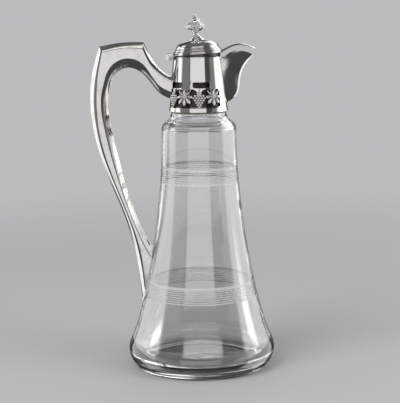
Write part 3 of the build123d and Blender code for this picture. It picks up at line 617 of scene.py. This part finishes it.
def handle_lines():
    """The handle's outer and inner lines and how far its two bevels reach in from each, station by
    station from the collar to the foot: (outer point, inner point, outer bevels, inner bevels)."""
    upper = (
        ((-15.0, -18.0), (-15.0, -36.5), (1.4, 3.6), (3.2, 5.4)),
        ((-23.1, -14.8), (-23.9, -33.4), (1.5, 3.8), (3.4, 5.6)),
        ((-31.2, -8.6), (-30.3, -30.0), (2.0, 5.0), (3.6, 6.2)),
        ((-36.6, -1.5), (-37.0, -22.6), (2.8, 6.2), (3.5, 6.6)),
        ((-43.5, 12.3), (-48.0, -11.0), (1.5, 5.2), (3.3, 7.4)),
        ((-60.5, 12.2), (-58.0, -8.5), (1.2, 4.4), (3.3, 7.5)),
        ((-79.5, 9.3), (-66.3, -13.3), (2.4, 5.4), (3.3, 7.3)),
        ((-85.6, -11.0), (-71.3, -24.5), (4.0, 6.6), (3.4, 7.0)),
        ((-88.2, -33.3), (-72.6, -33.3), (3.6, 6.2), (3.6, 6.4)),
        ((-86.6, -54.5), (-71.0, -53.5), (3.0, 5.4), (3.8, 6.0)),
        ((-77.8, -89.0), (-63.6, -88.0), (2.3, 4.3), (3.8, 5.4)),
    )
    lower = (
        ((25.7, 121.5), (13.4, 118.5), (2.1, 3.9), (3.8, 5.2)),
        ((12.3, 88.0), (-1.5, 95.5), (2.3, 4.4), (3.8, 5.4)),
        ((5.0, 66.0), (-9.0, 84.0), (2.6, 4.8), (3.8, 5.4)),
        ((-0.6, 49.5), (-15.0, 70.0), (2.6, 4.8), (3.8, 5.4)),
    )
    outer, inner = [np.array([on_collar(*s[edge]) for s in upper] + [on_glass(*s[edge]) for s in lower])
                    for edge in (0, 1)]
    outer_bevels, inner_bevels = [np.array([s[edge] for s in upper + lower]) for edge in (2, 3)]
    return outer, inner, outer_bevels, inner_bevels


def through(points, breaks, at):
    """Smooth lines through stations, as separate cubics between sharp corners. at holds the
    station numbers, whole or part, to sample."""
    result = np.zeros((len(at), points.shape[1]))
    ends = [0, *breaks, len(points) - 1]
    for start, end in zip(ends[:-1], ends[1:]):
        chosen = (at >= start) & (at <= end)
        knots = chord_knots(points[start:end + 1, :2])
        local = at[chosen] - start
        low = np.clip(local.astype(int), 0, end - start - 1)
        place = knots[low] + (local - low) * (knots[low + 1] - knots[low])
        result[chosen] = cubic(knots, points[start:end + 1], place)
    return result


def rounded_section(corners, size, steps=6):
    """A closed section whose corners c are rounded: each becomes the parabola
    (1 - t)^2 a + 2 t (1 - t) c + t^2 b between points a and b at a distance along its two sides.
    Corners run (station, corner, xyz)."""
    before = np.roll(corners, 1, axis=1)
    after = np.roll(corners, -1, axis=1)
    back = before - corners
    ahead = after - corners
    back_length = np.linalg.norm(back, axis=2, keepdims=True)
    ahead_length = np.linalg.norm(ahead, axis=2, keepdims=True)
    start = corners + back / back_length * np.minimum(size, 0.4 * back_length)
    end = corners + ahead / ahead_length * np.minimum(size, 0.4 * ahead_length)
    t = np.linspace(0, 1, steps)[None, None, :, None]
    start, end, middle = start[:, :, None], end[:, :, None], corners[:, :, None]
    curve = (1 - t) ** 2 * start + 2 * t * (1 - t) * middle + t ** 2 * end
    return curve.reshape(len(corners), -1, 3)


def handle_surface(count=420):
    """Sections of ten rounded corners carried from the collar to the foot. Their half width is
    top_half at the height of the collar's rim and foot_half at a quarter of that. Each long line
    of the surface is then cut where it meets the collar's cone and the glass, and respaced."""
    foot_half, top_half, rounding = 6.4, 5.0, 1.0
    sunk, stand_off = 0.05, 1.2                 # into the collar, and off the glass
    near_collar, near_glass = 5, 10             # the stations up to and from which it can meet them
    outer, inner, outer_bevels, inner_bevels = handle_lines()
    at = np.unique(np.concatenate([np.linspace(0, len(outer) - 1, count), HANDLE_CORNERS]))
    along = inner - outer
    along /= np.linalg.norm(along, axis=1)[:, None]
    edge = np.zeros((len(outer), 1))
    lines = [through(outer + along * reach[:, None], HANDLE_CORNERS, at)
             for reach in np.hstack([edge, outer_bevels]).T]
    lines += [through(inner - along * reach[:, None], (), at)
              for reach in np.hstack([edge, inner_bevels]).T[::-1]]
    corners = []
    for line, share in zip(lines, (0.0, 0.75, 1.0, 1.0, 0.75, 0.0)):
        rise = (line[:, 1] - 0.25 * COLLAR_RIM) / (0.75 * COLLAR_RIM)
        half = share * (foot_half - (foot_half - top_half) * rise)
        corners.append(np.stack([line[:, 0], -half, line[:, 1]], 1))
    mirrored = [corner * (1, -1, 1) for corner in corners[4:0:-1]]
    section = rounded_section(np.stack(corners + mirrored, 1), rounding)
    distance = np.hypot(section[..., 0], section[..., 1])
    clear_of_collar = distance - sleeve_radius(section[..., 2]) + sunk
    clear_of_glass = distance - wall_radius(section[..., 2]) - stand_off
    top = np.where(at[:, None] < near_collar, clear_of_collar, 1.0)
    foot = np.where(at[:, None] > near_glass, clear_of_glass, 1.0)
    start = crossing(at, top)
    end = crossing(-at[::-1], foot[::-1]) * -1
    return respaced(section, at, start, end)


def crossing(at, clear):
    """For each line, where it first comes clear, found between two samples."""
    first = np.argmax(clear > 0, axis=0)
    line = np.arange(clear.shape[1])
    before = np.maximum(first - 1, 0)
    a, b = clear[before, line], clear[first, line]
    share = np.where(first > 0, -a / np.where(b - a == 0, 1, b - a), 0.0)
    return at[before] + share * (at[first] - at[before])


def respaced(section, at, start, end):
    """Each long line sampled again between its own start and end, in three legs that meet at the
    two sharp corners of the outer line."""
    leg = np.concatenate([np.linspace(0, 1, 46)[:-1], 1 + np.linspace(0, 1, 26)[:-1],
                          2 + np.linspace(0, 1, 150)])
    ends = np.stack([start, *[np.full_like(start, corner) for corner in HANDLE_CORNERS], end])
    low = np.clip(leg.astype(int), 0, 2)
    wanted = ends[low] + (leg - low)[:, None] * (ends[low + 1] - ends[low])
    place = np.clip(np.searchsorted(at, wanted), 1, len(at) - 1)
    share = (wanted - at[place - 1]) / (at[place] - at[place - 1])
    line = np.arange(section.shape[1])[None]
    return section[place - 1, line] * (1 - share[..., None]) + section[place, line] * share[..., None]


def vent_slit(surface, centre, length, width):
    """Painted shade in the vent's mouth: a flat dark lens laid on a surface at its point nearest to a
    centre. Over the turn t and the fall p it lies |cos t|^0.7 sin^0.4 p of half its length along the
    surface, sin t sin^0.4 p of half its width across it, and 0.12 cos p off it."""
    ring, side = np.unravel_index(np.linalg.norm(surface - centre, axis=2).argmin(), surface.shape[:2])
    along = surface[ring + 2, side] - surface[ring - 2, side]
    along /= np.linalg.norm(along)
    near = surface[ring][np.argsort(np.linalg.norm(surface[ring] - centre, axis=1))[:8]]
    across = near[near[:, 1].argmax()] - near[near[:, 1].argmin()]
    across /= np.linalg.norm(across)
    normal = np.cross(along, across)
    turn = np.arange(28)[None] * 2 * pi / 28
    fall = np.linspace(0.05, pi - 0.05, 9)[:, None]
    reach = np.sin(fall) ** 0.4
    flat = np.stack([np.sign(np.cos(turn)) * np.abs(np.cos(turn)) ** 0.7 * reach * length / 2,
                     np.sin(turn) * reach * width / 2, 0.12 * np.cos(fall) + 0 * turn], -1)
    return centre + flat @ np.stack([along, across, normal])


handle = handle_surface()
points, faces = capped_tube(handle)
add_piece("hollow_handle", points * MM, faces, [silver],
          stands_for=["handle_left_shell", "handle_right_shell"])
vent_centre, vent_length, vent_width = np.array([-42.75, -1.7, 102.4]), 5.4, 0.9
# A dark lens on the handle stands for the shade inside the vent.
points, faces = capped_tube(vent_slit(handle, vent_centre, vent_length, vent_width))
add_piece("vent_slit", points * MM, faces, [slot_shade])


# ---- Vine frieze ------------------------------------------------------------------------------
BUNCH_ANGLE, PITCH = 88.5, 59.5                 # the first bunch from the spout, and on to the next
LEAF_HEART, LEAF_SCALE = FRIEZE_TOP - 5.2, 0.88 # the height where a leaf's lobes meet
BUNCH_TOP = FRIEZE_TOP - 3.4
BERRY, BERRY_PITCH = 1.0, 2.1
SUNK = 0.1                                      # how far the backs lie under the collar's face


def on_cone(across, height, lift, angle):
    """Places flat work on the collar: across is an arc's length from a middle angle, height is z,
    and lift is how far it stands off the cone."""
    radius = sleeve_radius(height)
    turn = radians(angle) + across / radius
    return np.stack([(radius + lift) * np.cos(turn), (radius + lift) * np.sin(turn), height], -1)


def leaf_outline(turn):
    """Reach of a vine leaf in a direction from its heart, in degrees, 0 straight down: seven
    pointed lobes, heart + (length - heart) (1 - away / width)^0.5, and small teeth,
    1 + 0.05 |sin 16 turn|."""
    heart = 3.6
    reach = np.full_like(turn, heart)
    for middle, length, width in ((0, 9.4, 21), (40, 9.2, 21), (80, 7.9, 21), (122, 5.6, 22)):
        away = np.abs(np.abs(turn) - middle)
        reach = np.maximum(reach, heart + (length - heart) * np.clip(1 - away / width, 0, 1) ** 0.5)
    return reach * (1 + 0.05 * np.abs(np.sin(np.radians(turn) * 16)))


def leaf_grid(rings=14, sides=180):
    """A leaf as rings from its heart to its edge, at a share s of the way and a turn t. It lifts
    off the collar by 1.35 - 0.3 s^2 - b (0.65 v + 0.12 cos 36t): v = (1 - cos 9t) / 2 are the
    valleys between lobes, the rest are veins, and b = min(1, 2.6 s) (1 - s^6) fades both out."""
    turn = np.arange(sides) * 360 / sides - 180
    share = np.linspace(0.06, 1, rings)[:, None]
    reach = LEAF_SCALE * leaf_outline(turn)[None] * share
    turn = np.radians(turn)
    carving = 0.65 * (0.5 - 0.5 * np.cos(turn * 9)) + 0.12 * np.cos(turn * 36)
    lift = 1.35 - 0.3 * share ** 2 - carving * np.clip(share * 2.6, 0, 1) * (1 - share ** 6)
    lift[-1] = 0.25
    return reach * np.sin(turn), -reach * np.cos(turn), lift


def leaf_at(angle):
    """A leaf on the collar: its front, its edge turned down, and a flat back."""
    across, high, lift = leaf_grid()
    across = np.concatenate([across, across[-1:]])
    high = np.concatenate([high, high[-1:]])
    lift = np.concatenate([lift, np.full_like(lift[-1:], -SUNK)])
    grid = on_cone(across, LEAF_HEART + high, lift, angle)
    rings, sides, _ = grid.shape
    middles = on_cone(np.zeros(2), np.full(2, LEAF_HEART), np.array([1.3, -SUNK]), angle)
    return np.concatenate([grid.reshape(-1, 3), middles]), capped_faces(rings, sides)


def berry_at(x, height, angle, rings=7, sides=14):
    """A berry on the collar: rings of a ball from near its front pole to behind its waist, where
    at the fall p they are (sin p cos t, sin p sin t) across and cos p off it, in berry radii."""
    fall = np.radians(np.linspace(8, 104, rings))[:, None]
    turn = np.arange(sides)[None] * 2 * pi / sides
    off = 0.55 * BERRY
    grid = on_cone(x + BERRY * np.sin(fall) * np.cos(turn), height + BERRY * np.sin(fall) * np.sin(turn),
                   off + BERRY * np.cos(fall) + 0 * turn, angle)
    middles = on_cone(np.full(2, x), np.full(2, height), np.array([off + BERRY, -SUNK / 2]), angle)
    return np.concatenate([grid.reshape(-1, 3), middles]), capped_faces(rings, sides)


def bunch_at(angle):
    """Berries in seven rows of 2, 4, 5, 4, 3, 2 and 1, packed closely: each row hangs a pitch
    times cos 30 under the last."""
    drop = 0.866 * BERRY_PITCH
    return gathered([
        berry_at(BERRY_PITCH * (place - (count - 1) / 2), BUNCH_TOP - row * drop, angle)
        for row, count in enumerate((2, 4, 5, 4, 3, 2, 1)) for place in range(count)
    ])


def tendril(path, size, angle, sides=8):
    """A round stem along a path of (across, rise over the frieze's top) on the collar. At a share
    s of its length its radius is size (0.55 + 0.45 sin(pi (0.05 + 0.9 s)))."""
    line = spline(path, 28)
    ahead = np.gradient(line, axis=0)
    ahead /= np.linalg.norm(ahead, axis=1)[:, None]
    beside = np.stack([-ahead[:, 1], ahead[:, 0]], 1)
    share = np.linspace(0, 1, len(line))
    thick = size * (0.55 + 0.45 * np.sin(pi * (0.05 + 0.9 * share)))
    turn = np.arange(sides) * 2 * pi / sides
    across = line[:, :1] + beside[:, :1] * thick[:, None] * np.cos(turn)
    high = line[:, 1:] + beside[:, 1:] * thick[:, None] * np.cos(turn)
    lift = 0.85 + thick[:, None] * np.sin(turn)
    return capped_tube(on_cone(across, FRIEZE_TOP + high, lift, angle)[:, ::-1])


def step_angles(*steps):
    """Angles on both sides of the jug, by half pitches from the first bunch."""
    return [side * (BUNCH_ANGLE + step * PITCH / 2) for step in steps for side in (1, -1)]


leaf_stem = ((0.2, -4.6), (-0.3, -2.6), (0.3, -0.9), (1.9, -0.2))
bunch_stem = ((0, -3.6), (0.15, -1.8), (0, 0.2))
shoot = ((5.2, -0.6), (3.9, -2.2), (2.2, -3.6), (0.6, -5.4))
curl = ((-5.0, -1.0), (-4.2, -2.6), (-2.6, -3.6), (-0.8, -4.6))
leaf_angles, bunch_angles = step_angles(-1, 1), step_angles(0, 2)
points, faces = gathered([leaf_at(angle) for angle in leaf_angles])
add_piece("vine_leaf_relief", points * MM, faces, [frieze_silver_recess_shade], stands_for=["vine_leaves"])
points, faces = gathered([bunch_at(angle) for angle in bunch_angles])
add_piece("grape_relief", points * MM, faces, [frieze_silver_recess_shade], stands_for=["grape_bunches"])
stems = [tendril(path, 0.5, angle) for angle in leaf_angles for path in (leaf_stem, shoot, curl)]
stems += [tendril(bunch_stem, 0.55, angle) for angle in bunch_angles]
points, faces = gathered(stems)
add_piece("tendrils", points * MM, faces, [frieze_silver_recess_shade], stands_for=["vine_stems"])


# ---- Lid --------------------------------------------------------------------------------------
LID_BORE = 15.6
COVER_TIP, COVER_HALF, COVER_CROWN = 46.2, 9.8, 26.0     # reach, half width at its root, and arch


def tilted(points):
    """Points of the shut lid turned open about the hinge to where it rests."""
    turn = radians(REST_ANGLE)
    x, z = points[..., 0] - HINGE_X, points[..., 2] - HINGE_Z
    return np.stack([x * cos(turn) - z * sin(turn) + HINGE_X, points[..., 1],
                     x * sin(turn) + z * cos(turn) + HINGE_Z], -1)


def bead(radius, height, size, low=-80, high=80, count=9):
    """A round moulding in a profile: an arc about (radius, height), between two angles."""
    turn = np.radians(np.linspace(low, high, count))
    return np.stack([radius + size * np.cos(turn), height + size * np.sin(turn)], 1)


def moulded_rim():
    """The lid's rim, a closed profile of radii and rises over the lid's foot, turned about the
    axis: a thin rolled edge, two reeds that lean in over it, and a small bead at the dome's foot."""
    top = DOME_FOOT - LID_FOOT
    profile = np.concatenate([
        [[LID_BORE, 0], [20.1, 0]],
        bead(20.40, 0.52, 0.48),
        arc((19.95, 1.15), (19.72, 2.3), (18.75, 2.95), 12),
        arc((18.62, 3.15), (18.45, 3.95), (17.75, 4.45), 10),
        bead(17.30, 4.95, 0.42),
        [[16.6, top], [LID_BORE, top]],
    ])
    grid = turned_points(profile[:, 0], LID_FOOT + profile[:, 1])
    rows, sides, _ = grid.shape
    return grid.reshape(-1, 3), grid_faces(rows, sides, close_rows=True, close_columns=True)


def crown_drop(across):
    """How far a round arch has fallen at a distance from its middle."""
    return COVER_CROWN - np.sqrt(COVER_CROWN ** 2 - across ** 2)


def cover_crest(x):
    """Height of the cover's top along its middle: 3.67 sin(pi s) - 0.9 s^3 over its root, where s
    is the share of the way from the collar to its tip."""
    share = np.clip((x - COLLAR_RIM_RADIUS) / (COVER_TIP - COLLAR_RIM_RADIUS), 0, 1)
    return LID_FOOT + 2.65 + 3.67 * np.sin(pi * share) - 0.9 * share ** 3


def spout_cover(rings=60, sides=72):
    """The tongue over the spout. Its plan is a parabola, half width w (1 - s) at
    x = a + (b - a) (1 - (1 - s)^2). Each section is a shallow arch with rolled edges: at the
    turn t round it, w cos t from the middle, its top has fallen by D (1 - |sin t|^0.9), and its
    underside lies a sheet's thickness lower."""
    root = 16.9
    s = (1 - np.linspace(1, 0.0, rings) ** 1.4)[:, None]
    x = root + (COVER_TIP - root) * (1 - (1 - s) ** 2)
    half = np.maximum(COVER_HALF * (1 - s), 0.04)
    turn = np.arange(sides)[None] * 2 * pi / sides
    edge = np.abs(np.sin(turn)) ** 0.9
    fall = 1.05 + crown_drop(half)
    sheet = np.minimum(0.85, 0.8 * fall) * np.sqrt(1 - s ** 8)
    upper = np.sin(turn) >= 0
    height = cover_crest(x) - np.where(upper, fall * (1 - edge), sheet + (fall - sheet) * (1 - edge))
    clear_of_collar = np.maximum(height, LID_FOOT + 0.1)
    return capped_tube(np.stack([x + 0 * turn, half * np.cos(turn), clear_of_collar], -1))


points, faces = gathered([moulded_rim(), spout_cover()])
add_piece("lid_moulding", tilted(points) * MM, faces, [silver], body="lid", stands_for=["lid_flange"])


# ---- Finial -----------------------------------------------------------------------------------
DOME_HEIGHT, RING_HEIGHT, CALYX_HEIGHT = 6.6, 1.1, 2.5
DROP_FOOT = DOME_FOOT + DOME_HEIGHT + RING_HEIGHT + CALYX_HEIGHT
DROP_HEIGHT, DROP_RADIUS = 16.8, 7.45


def lobed_drop(rings=64, sides=144):
    """The cut drop, radius over height by a smooth curve, with a section between a circle and a
    hexagon: r = R cos 30 / cos a, where a is the turn from the middle of its side."""
    rise = (0.0, 0.06, 0.125, 0.21, 0.30, 0.40, 0.50, 0.58, 0.71, 0.83, 0.92, 1.0)
    size = (0.28, 0.30, 0.40, 0.66, 0.90, 1.0, 0.88, 0.66, 0.46, 0.30, 0.17, 0.01)
    share = np.linspace(0, 1, rings)
    radius = DROP_RADIUS * cubic(rise, np.array(size)[:, None], share)[:, 0]
    radius[-1] = 0.05
    turn = np.arange(sides) * 2 * pi / sides
    away = (turn - pi / 2 + pi / 6) % (pi / 3) - pi / 6
    section = cos(pi / 6) / np.cos(away)
    height = DROP_FOOT + DROP_HEIGHT * share
    grid = np.stack([np.outer(radius, section * np.cos(turn)), np.outer(radius, section * np.sin(turn)),
                     np.outer(height, np.ones(sides))], -1)
    return capped_tube(grid[:, ::-1])


points, faces = lobed_drop()
add_piece("crystal_drop", tilted(points) * MM, faces, [crystal], body="lid",
          stands_for=["finial_drop"])


# ---- Stage ------------------------------------------------------------------------------------
def pale_floor():
    """A pale matt floor that fades out to the backdrop's colour with the distance from the jug."""
    material, tree, shader = new_material(
        "pale_floor", Base_Color=(0.62, 0.62, 0.625, 1.0), Roughness=0.55, Specular_IOR_Level=0.2)
    place = add_node(tree, "ShaderNodeTexCoord")
    distance = add_node(tree, "ShaderNodeVectorMath", operation="LENGTH")
    join(tree, place.outputs["Object"], distance.inputs[0])
    clear = add_node(tree, "ShaderNodeBsdfTransparent")
    mix = mix_shaders(tree, smooth_range(tree, distance.outputs["Value"], 0.25, 1.1), shader, clear)
    join(tree, mix.outputs["Shader"], tree.nodes["Material Output"].inputs["Surface"])
    return material


def make_floor(reach=1.2, bands=4, sides=96):
    """A round floor of flat bands about its middle point, (r cos t, r sin t, 0), in metres."""
    rings = turned_points(np.linspace(0, reach, bands + 1)[1:], np.zeros(bands), sides)
    step = np.arange(sides)
    hub = np.stack([0 * step, 1 + step, 1 + (step + 1) % sides, np.full(sides, -1)], 1)
    around = 1 + grid_faces(bands, sides, close_columns=True)[:, ::-1]
    points = np.concatenate([np.zeros((1, 3)), rings.reshape(-1, 3)])
    return new_object("floor", points, np.concatenate([hub, around]), [pale_floor()])


floor = make_floor()
floor.visible_glossy = False


def add_light(name, place, power, size=0.9, aim=(0, 0, 0.13)):
    """A soft square lamp that faces the jug and isn't mirrored in it."""
    data = bpy.data.lights.new(name, "AREA")
    data.size = size
    data.energy = power
    lamp = bpy.data.objects.new(name, data)
    bpy.context.scene.collection.objects.link(lamp)
    turned = (Vector(place) - Vector(aim)).to_track_quat("Z", "Y").to_matrix().to_4x4()
    lamp.matrix_world = Matrix.Translation(place) @ turned
    lamp.visible_glossy = False
    lamp.visible_transmission = False


add_light("key", (-0.9, -0.8, 1.3), 11.0)
add_light("fill", (1.1, -0.5, 1.0), 5.0)


# ---- Studio round the jug ---------------------------------------------------------------------
world = bpy.data.worlds.new("studio")
bpy.context.scene.world = world
world.use_nodes = True
tree = world.node_tree
tree.nodes.clear()

# A ray's direction in degrees: round the jug, where 0 is towards the camera's side and 90 to the
# right, and up from level.
x, y, z = split_axes(tree, "Generated")
turn = compute(tree, "DEGREES", compute(tree, "ARCTAN2", x, compute(tree, "MULTIPLY", y, -1.0)))
rise = compute(tree, "DEGREES", compute(tree, "ARCSINE", z))


def between(value, low, high, soft):
    """1 between two directions and 0 beyond them, with soft edges."""
    return compute(tree, "MULTIPLY", smooth_range(tree, value, low - soft, low + soft),
                   smooth_range(tree, value, high - soft, high + soft, 1.0, 0.0))


def panel(left, right, low, high, strength, soft=4.0):
    """A soft-edged bright panel between two directions and two heights."""
    shape = compute(tree, "MULTIPLY", between(turn, left, right, soft), between(rise, low, high, soft))
    return compute(tree, "MULTIPLY", shape, strength)


studio = 0.06
for light in (
    panel(-142, -77, -20, 27, 1.02),            # large soft boxes at the left and the right
    panel(-118, -77, -45, -20, 1.02),
    panel(-142, -118, -45, -20, 0.1),
    panel(77, 142, -45, 29, 1.02),
    panel(77, 142, 29, 46, 0.45),
    panel(-128, -100, 36, 50, 1.2, 3.0),
    panel(-35, 30, -12, 12, 0.68, 2.0),         # pale screen on the camera's side
    panel(-32, 36, 22, 40, 0.95, 3.0),          # overhead box, over the camera
    panel(-76, -38, -14, 14, 0.12),             # grey walls between them
    panel(54, 76, -14, 14, 0.14),
    panel(-200, 200, 46, 95, 0.06),             # grey ceiling
    panel(-96, -80, 10, 14, 2.6, 2.5),          # the boxes' own bright middles
    panel(92, 107, 1, 12, 1.9, 3.0),
    panel(120, 172, 18, 48, 1.1),               # lamp behind at the right
    panel(172, 200, 13, 20, 1.2, 3.0),          # a low lamp right behind the jug, in two halves
    panel(-200, -170, 13, 20, 1.2, 3.0),
    panel(150, 200, -10, 16, 0.12),             # dim room behind the jug, in two halves
    panel(-200, -150, -10, 16, 0.12),
):
    studio = compute(tree, "ADD", studio, light)

# Reflections show the studio. The camera sees the backdrop, and so do rays through the glass that
# run level or down. The rest of the light is even.
reflected = add_node(tree, "ShaderNodeBackground")
join(tree, studio, reflected.inputs["Color"])
backdrop = add_node(tree, "ShaderNodeBackground", Color=(0.50, 0.50, 0.51, 1.0))
ambient = add_node(tree, "ShaderNodeBackground", Color=(0.45, 0.45, 0.46, 1.0))
ray = add_node(tree, "ShaderNodeLightPath")
low_through = compute(tree, "MULTIPLY", smooth_range(tree, rise, 0.0, 6.0, 1.0, 0.0),
                      ray.outputs["Is Transmission Ray"])
seen = compute(tree, "MAXIMUM", ray.outputs["Is Camera Ray"], low_through)
lit = mix_shaders(tree, ray.outputs["Is Glossy Ray"], ambient, reflected)
whole = mix_shaders(tree, seen, lit, backdrop)
output = add_node(tree, "ShaderNodeOutputWorld")
join(tree, whole.outputs[0], output.inputs["Surface"])


# ---- Camera -----------------------------------------------------------------------------------
CAMERA_PLACE = (0.00012, -0.950, 0.28224)
CAMERA_PITCH, CAMERA_ROLL = 8.789, 0.778        # down from level, and clockwise, in degrees
camera = bpy.data.cameras.new("camera")
camera.lens = 104.58
camera.sensor_width = 36.0
camera.clip_start = 0.01
view = bpy.data.objects.new("camera", camera)
bpy.context.scene.collection.objects.link(view)
view.matrix_world = (Matrix.Translation(CAMERA_PLACE) @ Matrix.Rotation(radians(90 - CAMERA_PITCH), 4, "X")
                     @ Matrix.Rotation(radians(-CAMERA_ROLL), 4, "Z"))
bpy.context.scene.camera = view
bpy.context.scene.view_settings.view_transform = "Standard"
